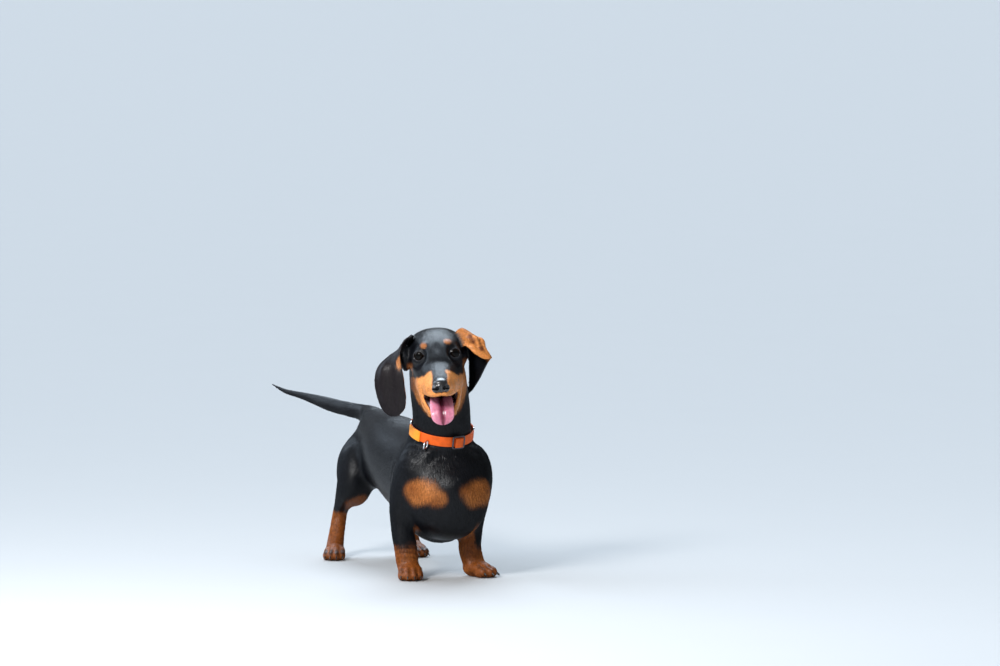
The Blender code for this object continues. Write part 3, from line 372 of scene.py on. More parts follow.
# Tan marks of the body: centre, radii, strength and the softness of the edge
TAN_PATCHES = [
    ((-35, -26, 108), (21, 26, 16.5), 1.0, 0.6),
    ((-24, -40, 103), (14, 22, 11), 0.8, 0.7),
    ((27, -34, 106), (25, 30, 16), 1.0, 0.6),
    ((-35, 4, 63), (5, 12, 14), 0.8, 0.5),
    ((-34, 222, 74), (15, 26, 12), 0.9, 0.5),
    ((-3, 283, 150), (12, 14, 9), 0.8, 0.5),
    ((-24, 196, 70), (16, 20, 13), 0.9, 0.5),
    ((24, 196, 70), (16, 20, 13), 0.9, 0.5),
]

# The lie of the coat: a place, the way the hair points there and how far that counts
BODY_FLOW = [
    ((3, -52, 110), (0, -0.1, -1), 26),
    ((3, -40, 70), (0, 0.7, -0.7), 26),
    ((-50, 0, 118), (0, 0.45, -1), 30),
    ((55, 0, 118), (0, 0.45, -1), 30),
    ((0, 25, 178), (0, 1, -0.1), 30),
    ((0, 80, 178), (0, 1, 0), 40),
    ((0, 150, 180), (0, 1, 0), 40),
    ((0, 215, 185), (0, 1, 0), 40),
    ((-48, 80, 125), (0, 1, -0.4), 36),
    ((48, 80, 125), (0, 1, -0.4), 36),
    ((-46, 150, 125), (0, 1, -0.4), 36),
    ((46, 150, 125), (0, 1, -0.4), 36),
    ((0, 50, 45), (0, 1, 0), 36),
    ((0, 130, 75), (0, 1, 0), 40),
    ((-50, 225, 125), (0, 0.6, -1), 30),
    ((50, 225, 125), (0, 0.6, -1), 30),
    ((-50, 236, 90), (0, 0.4, -1), 26),
    ((50, 236, 90), (0, 0.4, -1), 26),
    ((0, 288, 140), (0, 0.4, -1), 22),
    ((-5, 290, 176), (-0.3, 1, 0.2), 18),
    ((-25, 330, 182), (-0.45, 1, 0.2), 30),
    ((-60, 395, 194), (-0.55, 1, 0.25), 40),
    ((-47, 8, 60), (0, 0.1, -1), 26),
    ((38, 8, 60), (0, 0.1, -1), 26),
    ((-45, 0, 30), (0, -0.1, -1), 16),
    ((36, 0, 30), (0, -0.1, -1), 16),
    ((-45, -16, 12), (0.15, -1, -0.5), 16),
    ((41, -16, 12), (0.5, -1, -0.5), 16),
    ((-45, 252, 55), (0, 0.2, -1), 20),
    ((43, 252, 55), (0, 0.2, -1), 20),
    ((-58, 222, 12), (-0.3, -1, -0.5), 16),
    ((46, 222, 12), (0, -1, -0.5), 16),
    ((-8, 34, 225), (0, 0.8, -0.9), 24),
    ((0, 44, 190), (0, 0.9, -0.6), 24),
    ((-36, 2, 195), (0, 0.3, -1), 24),
    ((34, 2, 195), (0, 0.3, -1), 24),
    ((0, -34, 185), (0, 0, -1), 24),
    ((-36, 0, 160), (0, 0.3, -1), 24),
    ((38, 0, 160), (0, 0.3, -1), 24),
]
HEAD_FLOW = [
    ((0, -72, -20), (0, 1, 0.3), 9),
    ((0, -50, -11), (0, 1, 0.3), 14),
    ((0, -20, 2), (0, 1, 0.6), 14),
    ((0, 5, 22), (0, 1, 0.4), 18),
    ((0, 40, 28), (0, 1, -0.1), 22),
    ((-25, 25, 22), (-0.6, 1, -0.1), 16),
    ((25, 25, 22), (0.6, 1, -0.1), 16),
    ((-30, 8, 0), (-0.35, 1, -0.2), 14),
    ((30, 8, 0), (0.35, 1, -0.2), 14),
    ((-16, -55, -28), (-0.1, 1, -0.15), 14),
    ((16, -55, -28), (0.1, 1, -0.15), 14),
    ((-20, -28, -26), (-0.1, 1, -0.2), 14),
    ((20, -28, -26), (0.1, 1, -0.2), 14),
    ((-31, 10, -30), (-0.1, 1, -0.5), 16),
    ((31, 10, -30), (0.1, 1, -0.5), 16),
    ((-24, 5, -52), (0, 0.8, -0.7), 14),
    ((24, 5, -52), (0, 0.8, -0.7), 14),
    ((0, -45, -58), (0, 1, -0.5), 16),
    ((0, -10, -66), (0, 1, -0.6), 16),
    ((0, 72, 0), (0, 0.5, -1), 20),
    ((0, 62, -25), (0, 0.3, -1), 20),
]

# Folds of loose skin: centre, reach, the way they follow each other, their width and height
FOLDS = [
    ((-50, 48, 118), (30, 24, 45), (0.3, 1, 0.25), 9, 0.8),
    ((50, 48, 118), (30, 24, 45), (0.3, 1, 0.25), 9, 0.8),
    ((-40, -8, 150), (26, 34, 30), (0.6, 0.2, 1), 11, 0.5),
    ((40, -8, 150), (26, 34, 30), (-0.6, 0.2, 1), 11, 0.5),
    ((-46, -2, 32), (22, 22, 18), (0.1, 0.2, 1), 5.4, 0.75),
    ((35, -2, 32), (22, 22, 18), (0, 0.3, 1), 5.8, 0.5),
    ((-44, 250, 38), (20, 20, 20), (0, 0, 1), 5.8, 0.5),
    ((44, 250, 38), (20, 20, 20), (0, 0, 1), 5.8, 0.5),
]

# Tufts: length, half width, rise at the back and at the tip, and how many to a square millimetre
BODY_TUFT = (7.2, 0.33, 0.42, 0.6, 1.15)
HEAD_TUFT = (3.8, 0.22, 0.24, 0.32, 2.3)
EAR_TUFT = (4.6, 0.25, 0.24, 0.32, 1.7)
PAW_TUFT = (3.8, 0.24, 0.24, 0.34, 2.0)
TUFTS_A_PIECE = 48000
# How round a tuft's back is shaded and how far tufts lean to their sides
TUFT_ROUND, TUFT_TILT = 0.4, 0.16


# Sizes of the small forms
LID_ROLL = 0.55
BAND_SIDES = 28
WEAVE_PICKS, WEAVE_RIBS = 0.9, 0.75

# Colours
BLACK_HAIR, BROWN_BLACK = (0.0045, 0.0052, 0.0074), (0.0125, 0.009, 0.0105)
# The deep tan is partly the coat's own tone and partly painted shade on the legs
TAN_BRIGHT, DEEP_TAN_AND_SHADE = (0.92, 0.36, 0.1), (0.25, 0.07, 0.013)
# The mouth's lining is dark partly in its own colour and partly as painted shade; the inner lip's pale grey is partly
# its own mottle and partly painted wet sheen
MOUTH_DARK_AND_SHADE, LIP_GREY_AND_SHEEN = (0.02, 0.008, 0.009), (0.8, 0.72, 0.8)
IRIS_BROWN = (0.004, 0.0024, 0.0016)
NOSE_BLACK = (0.007, 0.007, 0.008)
# Painted shade for the hollows between the ear's folds
HOLLOW_SHADE_BROWN = (0.11, 0.026, 0.013)
# Painted shade along the tongue's groove, and paler edges that are partly painted highlight
TONGUE_PINK, TONGUE_GROOVE_SHADE, TONGUE_EDGE_AND_HIGHLIGHT = (0.56, 0.16, 0.25), (0.15, 0.02, 0.045), (0.72, 0.28, 0.38)
WEBBING_ORANGE, WEBBING_DARK, WEBBING_AMBER = (1.0, 0.17, 0.006), (0.7, 0.07, 0.002), (1.0, 0.48, 0.02)
GUNMETAL_GREY, STEEL_GREY = (0.12, 0.11, 0.12), (0.7, 0.7, 0.72)
FLOOR_PALE, WORLD_PALE, WORLD_STRENGTH = (0.48, 0.48, 0.48), (0.94, 0.97, 1.0), 0.3
FLOOR_HALF = 200.0
# Each light: name, side, height, strength, spread and colour
LIGHTS = [
    ("fill", -75, 30, 0.3, 80, (1, 0.98, 0.95)),
    ("rim", -130, 32, 1.9, 50, (0.7, 0.84, 1)),
    ("sky", 160, 56, 3.4, 40, (0.74, 0.87, 1)),
]
SOFTBOX_SIDE, SOFTBOX_HEIGHT, SOFTBOX_DISTANCE = -52.0, 32.0, 1.6
SOFTBOX_SIZE, SOFTBOX_POWER = 0.4, 26.0


def turned(yaw=0.0, roll=0.0, pitch=0.0):
    """Rotation by degrees: pitch about X, then roll about Y, then yaw about Z."""
    turns = ((yaw, "Z"), (roll, "Y"), (pitch, "X"))
    found = Matrix.Identity(4)
    for angle, axis in turns:
        found = found @ Matrix.Rotation(math.radians(angle), 4, axis)
    return found


def head_frame():
    return Matrix.Translation(HEAD_PLACE) @ turned(HEAD_YAW, HEAD_ROLL, HEAD_PITCH)


def jaw_frame():
    """The head's frame with the jaw swung down about its hinge."""
    hinge = Matrix.Translation(JAW_HINGE)
    return head_frame() @ hinge @ turned(pitch=JAW_OPEN) @ hinge.inverted()


def paw_frame(place, turn):
    return Matrix.Translation((place[0], place[1], 0)) @ turned(turn)


def moved(points, frame):
    matrix = np.array(frame)
    return np.asarray(points, float) @ matrix[:3, :3].T + matrix[:3, 3]


def smooth_rows(rows, steps):
    """Rows read from a Catmull-Rom curve through the given ones, with this many steps to each."""
    rows = np.asarray(rows, float)
    ends = np.concatenate([[2 * rows[0] - rows[1]], rows, [2 * rows[-1] - rows[-2]]])
    found = [rows[0]]
    for before, start, end, after in zip(ends, ends[1:], ends[2:], ends[3:]):
        bend = 2 * before - 5 * start + 4 * end - after
        twist = 3 * start - before - 3 * end + after
        for t in np.linspace(0, 1, steps + 1)[1:]:
            found.append(start + 0.5 * ((end - before) * t + bend * t**2 + twist * t**3))
    return np.array(found)


def unit(vectors):
    return vectors / np.linalg.norm(vectors, axis=-1, keepdims=True)


def outline(sides, squareness):
    """The unit section of a loft: (across, up) of each point round it."""
    angles = np.arange(sides) * 2 * math.pi / sides
    found = np.stack([np.cos(angles), np.sin(angles)], axis=1)
    return np.sign(found) * np.abs(found) ** (2 / squareness)


def section_rings(rows, steps, sides, squareness, groove=0.0):
    """The rings of a loft through the rows, as an array of rings by sides by 3."""
    rows = smooth_rows(rows, steps)
    centres = rows[:, :3]
    along = unit(np.gradient(centres, axis=0))
    side = np.array([1.0, 0, 0])
    side = unit(side - along * (along @ side)[:, None])
    up = np.cross(side, along)
    shape = outline(sides, squareness)
    reach = np.where(shape[:, 1] > 0, rows[:, 4:5], rows[:, 5:6])
    dip = groove * np.exp(-((shape[:, 0] / GROOVE_WIDTH) ** 2)) * np.sign(shape[:, 1])
    lift = reach * (shape[:, 1] - dip)
    across = rows[:, 3:4] * shape[:, 0]
    return centres[:, None] + across[:, :, None] * side[:, None] + lift[:, :, None] * up[:, None]


def skin_of_rings(rings, closed_ends=True):
    """Points and faces of a tube through the rings, with a fan of faces over each end."""
    count, sides = rings.shape[:2]
    points = list(rings.reshape(-1, 3))
    faces = []
    for ring in range(count - 1):
        for k in range(sides):
            near, far = ring * sides + k, ring * sides + (k + 1) % sides
            faces.append((near, far, far + sides, near + sides))
    if closed_ends:
        for start, turn in ((0, -1), ((count - 1) * sides, 1)):
            middle = len(points)
            points.append(rings[start // sides].mean(axis=0))
            for k in range(sides):
                edge = (start + k, start + (k + 1) % sides)
                faces.append((middle, *edge[::turn]))
    return np.array(points), faces


def add_mesh(bm, points, faces, frame=None):
    """Adds the faces to the bmesh, in metres and facing out."""
    if frame is not None:
        points = moved(points, frame)
    verts = [bm.verts.new(point) for point in np.asarray(points) * MM]
    new = [bm.faces.new([verts[k] for k in face]) for face in faces]
    bmesh.ops.recalc_face_normals(bm, faces=new)


def add_loft(bm, rows, frame=None, steps=5, sides=32, squareness=2.2, groove=0.0):
    rings = section_rings(rows, steps, sides, squareness, groove)
    add_mesh(bm, *skin_of_rings(rings), frame)


def add_blob(bm, centre, radii, frame=None, detail=4):
    """An ellipsoid from a sphere of triangles."""
    place = (frame or Matrix.Identity(4)) @ Matrix.Translation(centre) @ Matrix.Diagonal((*radii, 1))
    scale = Matrix.Scale(MM, 4)
    bmesh.ops.create_icosphere(bm, subdivisions=detail, radius=1, matrix=scale @ place)


def bake(obj):
    """Replaces the object's mesh by what its modifiers make of it."""
    graph = bpy.context.evaluated_depsgraph_get()
    made = bpy.data.meshes.new_from_object(obj.evaluated_get(graph), depsgraph=graph)
    obj.modifiers.clear()
    old = obj.data
    obj.data = made
    bpy.data.meshes.remove(old)


def remesh(obj, voxel):
    step = obj.modifiers.new("remesh", "REMESH")
    step.mode = "VOXEL"
    step.voxel_size = voxel * MM
    bake(obj)


def points_of(mesh):
    found = np.empty(len(mesh.vertices) * 3)
    mesh.vertices.foreach_get("co", found)
    return found.reshape(-1, 3) / MM


def normals_of(mesh):
    found = np.empty(len(mesh.vertices) * 3)
    mesh.vertex_normals.foreach_get("vector", found)
    return found.reshape(-1, 3)


def set_points(mesh, points):
    mesh.vertices.foreach_set("co", (points * MM).ravel())
    mesh.update()


def relax(mesh, rounds, hold):
    """Smooths without shrinking. A point with a hold of 1 stays where it is."""
    edges = np.empty(len(mesh.edges) * 2, int)
    mesh.edges.foreach_get("vertices", edges)
    ends = edges.reshape(-1, 2)
    tail, head = np.concatenate([ends, ends[:, ::-1]]).T
    count = np.bincount(tail, minlength=len(mesh.vertices))[:, None]
    points = points_of(mesh)
    for step in (0.5, -0.52) * rounds:
        sums = [np.bincount(tail, points[head, axis], len(points)) for axis in range(3)]
        points += (np.stack(sums, axis=1) / count - points) * (step * (1 - hold))[:, None]
    set_points(mesh, points)


def near(points, centre, reach):
    """1 at the centre, falling smoothly to 0 at the reach, which is a number or one for each axis."""
    away = np.sum(((points - np.asarray(centre)) / np.asarray(reach)) ** 2, axis=1)
    return np.clip(1 - away, 0, None) ** 2


def eye_axis(side):
    """The frame of an eye: its centre, with -Y along the gaze."""
    x, y, z = EYE_PLACE
    return head_frame() @ Matrix.Translation((side * x, y, z)) @ turned(side * EYE_TURN, pitch=-EYE_LIFT)


def add_paw(bm, frame, width):
    """A foot of four arched toes, its middle at the frame's origin."""
    wide = frame @ Matrix.Scale(width, 4)
    add_blob(bm, *PAW_BODY, wide)
    for across, forward in TOES:
        for (aside, back, up), size in ((TOE_PLACE, TOE_SIZE), (KNUCKLE_PLACE, KNUCKLE_SIZE)):
            add_blob(bm, (across * aside, forward + back, up), size, wide)


def leg_rows(centres, girth):
    return [(*centre, *size) for centre, size in zip(centres, girth)]


def flesh():
    """The whole animal but for ears, eyes, nose leather, tongue and claws, in one skin."""
    bm = bmesh.new()
    head = head_frame()
    add_loft(bm, SKULL, head)
    add_loft(bm, JAW, jaw_frame())
    add_blob(bm, *CHEEK, head)
    for side in (-1, 1):
        for rows in (UPPER_LIP, LOWER_LIP):
            add_loft(bm, [(side * x, *rest) for x, *rest in rows], head, sides=16)
        for (x, y, z), radii in (*MUZZLE_FILL, *LIP_WALL):
            add_blob(bm, (side * x, y, z), radii, head)
    add_loft(bm, MOUTH_FLOOR, head)
    for side in (-1, 1):
        add_blob(bm, (0, 0, 0), (EYE_RADIUS + LID_THICKNESS,) * 3, eye_axis(side))
    for centre, radii in EAR_BASES:
        add_blob(bm, centre, radii, head)
    add_loft(bm, NECK)
    add_loft(bm, TRUNK, squareness=2.15)
    add_loft(bm, TAIL)
    for centre, radii in SWELLINGS:
        add_blob(bm, centre, radii)
    for legs, girth in ((FORELEGS, FORELEG_GIRTH), (HINDLEGS, HINDLEG_GIRTH)):
        for centres in legs.values():
            add_loft(bm, leg_rows(centres, girth))
    for paws, width in ((FOREPAWS, FOREPAW_WIDTH), (HINDPAWS, HINDPAW_WIDTH)):
        for place, turn in paws.values():
            add_paw(bm, paw_frame(place, turn), width)
    return object_of(bm, "flesh")


def paw_nearness(points):
    found = np.zeros(len(points))
    for place, _ in (*FOREPAWS.values(), *HINDPAWS.values()):
        found = np.maximum(found, near(points, (*place, 8), (30, 34, 30)))
    return found


def shape_flesh(body):
    """Smooths the joins, then lifts and presses the forms of the face."""
    remesh(body, FLESH_VOXEL)
    points = points_of(body.data)
    local = moved(points, head_frame().inverted())
    face = near(local, (0, -10, -20), (60, 90, 70))
    hold = np.clip(0.85 * face**0.5 + 0.9 * paw_nearness(points) ** 0.5, 0, 0.92)
    relax(body.data, 60, hold)
    points = points_of(body.data)
    normals = normals_of(body.data)
    local = moved(points, head_frame().inverted())
    for (x, y, z), reach, lift in HEAD_STROKES:
        for side in (1, -1) if x else (1,):
            points += normals * (lift * near(local, (side * x, y, z), reach))[:, None]
    for side in (-1, 1):
        points = moved(press_orbit(moved(points, eye_axis(side).inverted())), eye_axis(side))
    set_points(body.data, points)
    relax(body.data, 9, np.zeros(len(points)))


def press_orbit(local):
    """Presses flesh that stands in front of an eye back to its lids. The gaze is along -Y."""
    out = -local[:, 1]
    away = np.hypot(local[:, 0], local[:, 2])
    ball = EYE_RADIUS + LID_THICKNESS
    lids = np.sqrt(ball**2 - np.minimum(away, ORBIT_RIM) ** 2)
    lids -= ORBIT_SLOPE * np.maximum(away - ORBIT_RIM, 0)
    fade = np.clip((ORBIT_REACH - away) / (ORBIT_REACH - ORBIT_RIM), 0, 1)
    fade = fade**2 * (3 - 2 * fade) * np.clip(ORBIT_DEPTH - out, 0, 1)
    pressed = out - np.where(out > 0, np.maximum(out - lids, 0) * fade, 0)
    return np.stack([local[:, 0], -pressed, local[:, 2]], axis=1)


def ear_sheet(rows, ridges, spread_of_ridges):
    """The middle of an ear's leaf, as a grid of points along and across it."""
    table = np.array(rows, float).reshape(len(rows), -1)
    along = smooth_rows(table, 6).reshape(-1, 3, 3)
    t = np.linspace(0, 1, EAR_ACROSS)[:, None]
    first, middle, last = along[:, None, 0], along[:, None, 1], along[:, None, 2]
    pull = 2 * middle - (first + last) / 2
    grid = first * (1 - t) ** 2 + pull * (2 * t * (1 - t)) + last * t**2
    normals = unit(np.cross(np.gradient(grid, axis=0), np.gradient(grid, axis=1)))
    place_along = np.linspace(0, 1, len(grid))[:, None]
    place_across = np.linspace(-1, 1, EAR_ACROSS)[None]
    long, wide = spread_of_ridges
    for at, across, height in ridges:
        spread = ((place_along - at) / long) ** 2 + ((place_across - across) / wide) ** 2
        grid = grid + normals * (height * np.exp(-spread))[:, :, None]
    return grid


def collar_frame(turn, out=0.0):
    """A frame on the collar's oval: X along the band, Y into the neck and Z along the neck."""
    wide, deep = COLLAR_OVAL
    angle = math.radians(turn)
    place = Vector((wide * math.sin(angle), -deep * math.cos(angle), 0))
    way = Vector((math.sin(angle) / wide, -math.cos(angle) / deep, 0)).normalized()
    facing = math.degrees(math.atan2(way.x, -way.y))
    ring = Matrix.Translation(COLLAR_CENTRE) @ turned(pitch=COLLAR_TILT)
    return ring @ Matrix.Translation(place + way * out) @ turned(facing)


def wire_object(name, corners, frame, wire, rounding):
    """A closed ring of round wire through the corners, which are rounded off."""
    points = []
    count = len(corners)
    for k, corner in enumerate(corners):
        here = Vector(corner)
        before, after = Vector(corners[k - 1]) - here, Vector(corners[(k + 1) % count]) - here
        start = here + before.normalized() * rounding
        end = here + after.normalized() * rounding
        for t in np.linspace(0, 1, 7):
            points.append(start * (1 - t) ** 2 + here * 2 * t * (1 - t) + end * t**2)
    curve = bpy.data.curves.new(name, "CURVE")
    curve.dimensions = "3D"
    curve.bevel_depth = wire * MM
    curve.bevel_resolution = 5
    line = curve.splines.new("POLY")
    line.use_cyclic_u = True
    line.points.add(len(points) - 1)
    for point, place in zip(line.points, points):
        point.co = (*(frame @ place * MM), 1)
    found = bpy.data.objects.new(name, curve)
    bpy.context.scene.collection.objects.link(found)
    return found


def rectangle(wide, high):
    signs = ((-1, -1), (1, -1), (1, 1), (-1, 1))
    return [(across * wide / 2, 0, up * high / 2) for across, up in signs]


def claw_rings(frame):
    """A claw that curves down to a blunt point."""
    rows = []
    for t in np.linspace(0, 1, 5):
        size = CLAW_RADIUS * (1 - 0.8 * t**1.5)
        rows.append((0, -CLAW_LENGTH * t, -CLAW_DROP * CLAW_LENGTH * t**2, 0.8 * size, size, size))
    return moved(section_rings(rows, 1, 6, 2.0), frame)


def to_frame():
    """The move from the dog's own frame to the model's, read from where the right eye lies."""
    low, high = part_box("eye_right")
    middle = (Vector(low) + Vector(high)) / 2
    return Matrix.Translation(middle - eye_axis(-1).translation * MM)


def settle(obj, *nodes, slot):
    """Moves a finished piece to its place, and hides the parts it stands for."""
    obj.data.transform(TO_FRAME)
    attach(obj, "root")
    if nodes:
        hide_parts(*nodes)


def object_of(bm, name):
    mesh = bpy.data.meshes.new(name)
    bm.to_mesh(mesh)
    bm.free()
    found = bpy.data.objects.new(name, mesh)
    bpy.context.scene.collection.objects.link(found)
    return found


def mesh_object(name, points, faces):
    """An object from points in millimetres and faces."""
    mesh = bpy.data.meshes.new(name)
    mesh.from_pydata((np.asarray(points) * MM).tolist(), [], faces)
    found = bpy.data.objects.new(name, mesh)
    bpy.context.scene.collection.objects.link(found)
    return found


def smooth_shading(mesh):
    mesh.polygons.foreach_set("use_smooth", np.ones(len(mesh.polygons), bool))


def tidy_normals(obj):
    bm = bmesh.new()
    bm.from_mesh(obj.data)
    bmesh.ops.recalc_face_normals(bm, faces=bm.faces)
    bm.to_mesh(obj.data)
    bm.free()


def step_up(low, high, value):
    """0 under the low value and 1 over the high one, with a smooth rise between."""
    t = np.clip((value - low) / (high - low), 0, 1)
    return t * t * (3 - 2 * t)


def wander(points, size, seed):
    """Smooth random numbers from about -1 to 1 that change over this size."""
    rng = np.random.default_rng(seed)
    found = np.zeros(len(points))
    for _ in range(9):
        wave = rng.normal(size=3)
        wave *= rng.uniform(0.6, 1.6) * 2 / size / np.linalg.norm(wave)
        found += np.sin(points @ wave + rng.uniform(0, 2 * math.pi))
    return found / 3


def ear_grids():
    """The middle surfaces of the two ears, in the dog's frame."""
    found = {}
    for name, *shape in (
        ("right", RIGHT_EAR, RIGHT_EAR_RIDGES, RIGHT_RIDGE_SPREAD),
        ("left", LEFT_EAR, LEFT_EAR_RIDGES, LEFT_RIDGE_SPREAD),
    ):
        grid = ear_sheet(*shape)
        found[name] = moved(grid.reshape(-1, 3), head_frame()).reshape(grid.shape)
    return found


def ear_leaf(name, grid):
    """The leaf of an ear as a closed shell round its middle surface."""
    count, across = grid.shape[:2]
    faces = [
        (i * across + j, i * across + j + 1, (i + 1) * across + j + 1, (i + 1) * across + j)
        for i in range(count - 1)
        for j in range(across - 1)
    ]
    ear = mesh_object(name, grid.reshape(-1, 3), faces)
    shell = ear.modifiers.new("leaf", "SOLIDIFY")
    shell.thickness = EAR_THICKNESS * MM
    shell.offset = 0
    bake(ear)
    return ear


def join(obj, others):
    """Adds the others' meshes to the object's mesh."""
    bm = bmesh.new()
    for each in (obj, *others):
        bm.from_mesh(each.data)
    bm.to_mesh(obj.data)
    bm.free()
    for each in others:
        bpy.data.objects.remove(each)


def keep_largest(obj):
    """Keeps the surface with the most points, and drops loose scraps."""
    mesh = obj.data
    edges = np.empty(len(mesh.edges) * 2, int)
    mesh.edges.foreach_get("vertices", edges)
    ends = edges.reshape(-1, 2)
    label = np.arange(len(mesh.vertices))
    changed = True
    while changed:
        before = label.copy()
        low = np.minimum(label[ends[:, 0]], label[ends[:, 1]])
        np.minimum.at(label, ends[:, 0], low)
        np.minimum.at(label, ends[:, 1], low)
        label = label[label]
        changed = not np.array_equal(label, before)
    names, counts = np.unique(label, return_counts=True)
    if len(names) == 1:
        return
    keep = label == names[np.argmax(counts)]
    bm = bmesh.new()
    bm.from_mesh(mesh)
    bmesh.ops.delete(bm, geom=[v for v in bm.verts if not keep[v.index]], context="VERTS")
    bm.to_mesh(mesh)
    bm.free()


def split_finer(mesh, chosen):
    """Halves the edges whose two ends are both chosen."""
    bm = bmesh.new()
    bm.from_mesh(mesh)
    edges = [e for e in bm.edges if chosen[e.verts[0].index] and chosen[e.verts[1].index]]
    bmesh.ops.subdivide_edges(bm, edges=edges, cuts=1, use_grid_fill=True)
    bm.to_mesh(mesh)
    bm.free()


def face_nearness(local):
    """Where the face is shaped finely, of points in the head's frame."""
    return near(local, (0, -22, -26), (48, 78, 62))


def lid_edge(angle, side):
    """The gap between the lids: its edge at each angle, drawn out to the corner by the nose."""
    wide, high = EYE_OPENING
    corner = math.pi if side > 0 else 0
    off = np.angle(np.exp(1j * (angle - corner)))
    beak = CORNER_REACH * np.exp(-((off / CORNER_SPREAD) ** 2))
    x = wide * np.cos(angle) * (1 + beak)
    return x, high * np.sin(angle) * (1 - 0.12 * np.abs(np.cos(angle)) ** 3) - CORNER_DROP * beak * wide


def press_socket(local, side):
    """Draws the skin behind the gap between the lids into the eyeball. The gaze is along -Y."""
    turns = np.linspace(-math.pi, math.pi, 181)
    edge = np.stack(lid_edge(turns, side), axis=1)
    bearing = np.arctan2(edge[:, 1], edge[:, 0])
    order = np.argsort(bearing)
    reach = np.interp(np.arctan2(local[:, 2], local[:, 0]), bearing[order], np.hypot(*edge[order].T), period=2 * math.pi)
    away = np.hypot(local[:, 0], local[:, 2]) / reach
    in_front = (local[:, 1] < 0) & (local[:, 1] > -ORBIT_DEPTH)
    inside = (away < 1) & in_front
    limit = EYE_RADIUS + LID_ROLL * 0.6 + LID_THICKNESS * step_up(1.0, 1.4, away)
    ease = np.minimum(1, limit / np.linalg.norm(local, axis=1))
    found = np.where(((away < 1.4) & in_front)[:, None], local * ease[:, None], local)
    found[inside, 1] = -EYE_RADIUS * 0.4
    return found


def press_nose(points):
    """Draws the skin behind the nose leather back into it."""
    local = moved(points, head_frame().inverted())
    inside = np.zeros(len(points))
    for centre, radii in NOSE_BLOBS:
        away = np.sum(((local - centre) / (np.array(radii) - 0.4)) ** 2, axis=1)
        inside = np.maximum(inside, away < 1)
    local[:, 1] = np.where(inside * (local[:, 1] < -64), -64, local[:, 1])
    return moved(local, head_frame())


def press_collar(points):
    """Presses the neck in under the webbing."""
    ring = Matrix.Translation(COLLAR_CENTRE) @ turned(pitch=COLLAR_TILT)
    local = moved(points, ring.inverted())
    wide, deep = COLLAR_OVAL
    out = np.hypot(local[:, 0] / wide, local[:, 1] / deep)
    limit = 1 - 0.6 / wide
    held = 1 - step_up(BAND_HEIGHT / 2 + 0.5, BAND_HEIGHT / 2 + 5, np.abs(local[:, 2]))
    held *= out < 1.35
    scale = 1 - held * np.clip(1 - limit / np.maximum(out, 1e-6), 0, 1)
    local[:, :2] *= scale[:, None]
    return moved(local, ring)


def soften(mesh, rounds, weight):
    """Smooths broad forms where the weight is high."""
    edges = np.empty(len(mesh.edges) * 2, int)
    mesh.edges.foreach_get("vertices", edges)
    ends = edges.reshape(-1, 2)
    tail, head = np.concatenate([ends, ends[:, ::-1]]).T
    count = np.bincount(tail, minlength=len(mesh.vertices))[:, None]
    points = points_of(mesh)
    for _ in range(rounds):
        sums = [np.bincount(tail, points[head, axis], len(points)) for axis in range(3)]
        points += (np.stack(sums, axis=1) / count - points) * (0.5 * weight)[:, None]
    set_points(mesh, points)


def broad_places(points, local):
    """1 over trunk and haunches, falling to 0 on head, paws, lower legs and tail."""
    found = step_up(45, 75, points[:, 2]) * (1 - step_up(270, 305, points[:, 1]))
    return found * (1 - step_up(0.0, 0.15, near(local, (0, 0, -10), (80, 100, 95))))


def folds(points):
    """How far loose skin rises in folds at shoulder, neck and pasterns."""
    found = np.zeros(len(points))
    for (cx, cy, cz), reach, way, length, height in FOLDS:
        phase = (points - (cx, cy, cz)) @ unit(np.array(way, float)) * 2 * math.pi / length
        phase += 1.6 * wander(points, 14, 21)
        found += height * np.sin(phase) * near(points, (cx, cy, cz), reach)
    return found


def make_skin(ears):
    """One skin for the whole animal, under the coat."""
    body = flesh()
    shape_flesh(body)
    points = points_of(body.data)
    local = moved(points, head_frame().inverted())
    soften(body.data, 110, broad_places(points, local))
    mirrored = np.stack([np.abs(local[:, 0]), local[:, 1], local[:, 2]], axis=1)
    cheeks = np.maximum(near(mirrored, (24, -12, -27), (17, 36, 17)), near(mirrored, (19, -42, -25), (14, 30, 11)))
    soften(body.data, 90, cheeks**0.5)
    soften(body.data, 24, near(mirrored, (22, -20, -56), (12, 32, 15)) ** 0.5)
    points, normals = points_of(body.data), normals_of(body.data)
    for centre, reach, lift in BODY_STROKES:
        points += normals * (lift * near(points, centre, reach))[:, None]
    set_points(body.data, points)
    relax(body.data, 6, np.zeros(len(points)))
    leaves = [ear_leaf("leaf_" + side, grid) for side, grid in ears.items()]
    join(body, leaves)
    remesh(body, SKIN_VOXEL)
    keep_largest(body)
    mesh = body.data
    local = moved(points_of(mesh), head_frame().inverted())
    roots = np.maximum(near(local, (-33, 22, 14), 20), near(local, (31, 18, 14), 20))
    relax(mesh, 14, np.clip(1 - 2.5 * roots, 0, 1))
    relax(mesh, 4, np.zeros(len(mesh.vertices)))
    split_finer(mesh, face_nearness(local) > 0.02)
    relax(mesh, 3, np.zeros(len(mesh.vertices)))
    points = points_of(mesh)
    local = moved(points, head_frame().inverted())
    fine = np.clip(2 * face_nearness(local) + 2 * paw_nearness(points) + on_ears(points, ears)[0], 0, 1)
    depth = COAT_DEPTH + (FINE_COAT_DEPTH - COAT_DEPTH) * fine
    points = points - normals_of(mesh) * (depth - folds(points))[:, None]
    points = press_nose(points)
    for side in (-1, 1):
        points = moved(press_socket(moved(points, eye_axis(side).inverted()), side), eye_axis(side))
    points = press_collar(points)
    points[:, 2] = np.maximum(points[:, 2], 0.05)
    set_points(mesh, points)
    body.name = "skin"
    return body


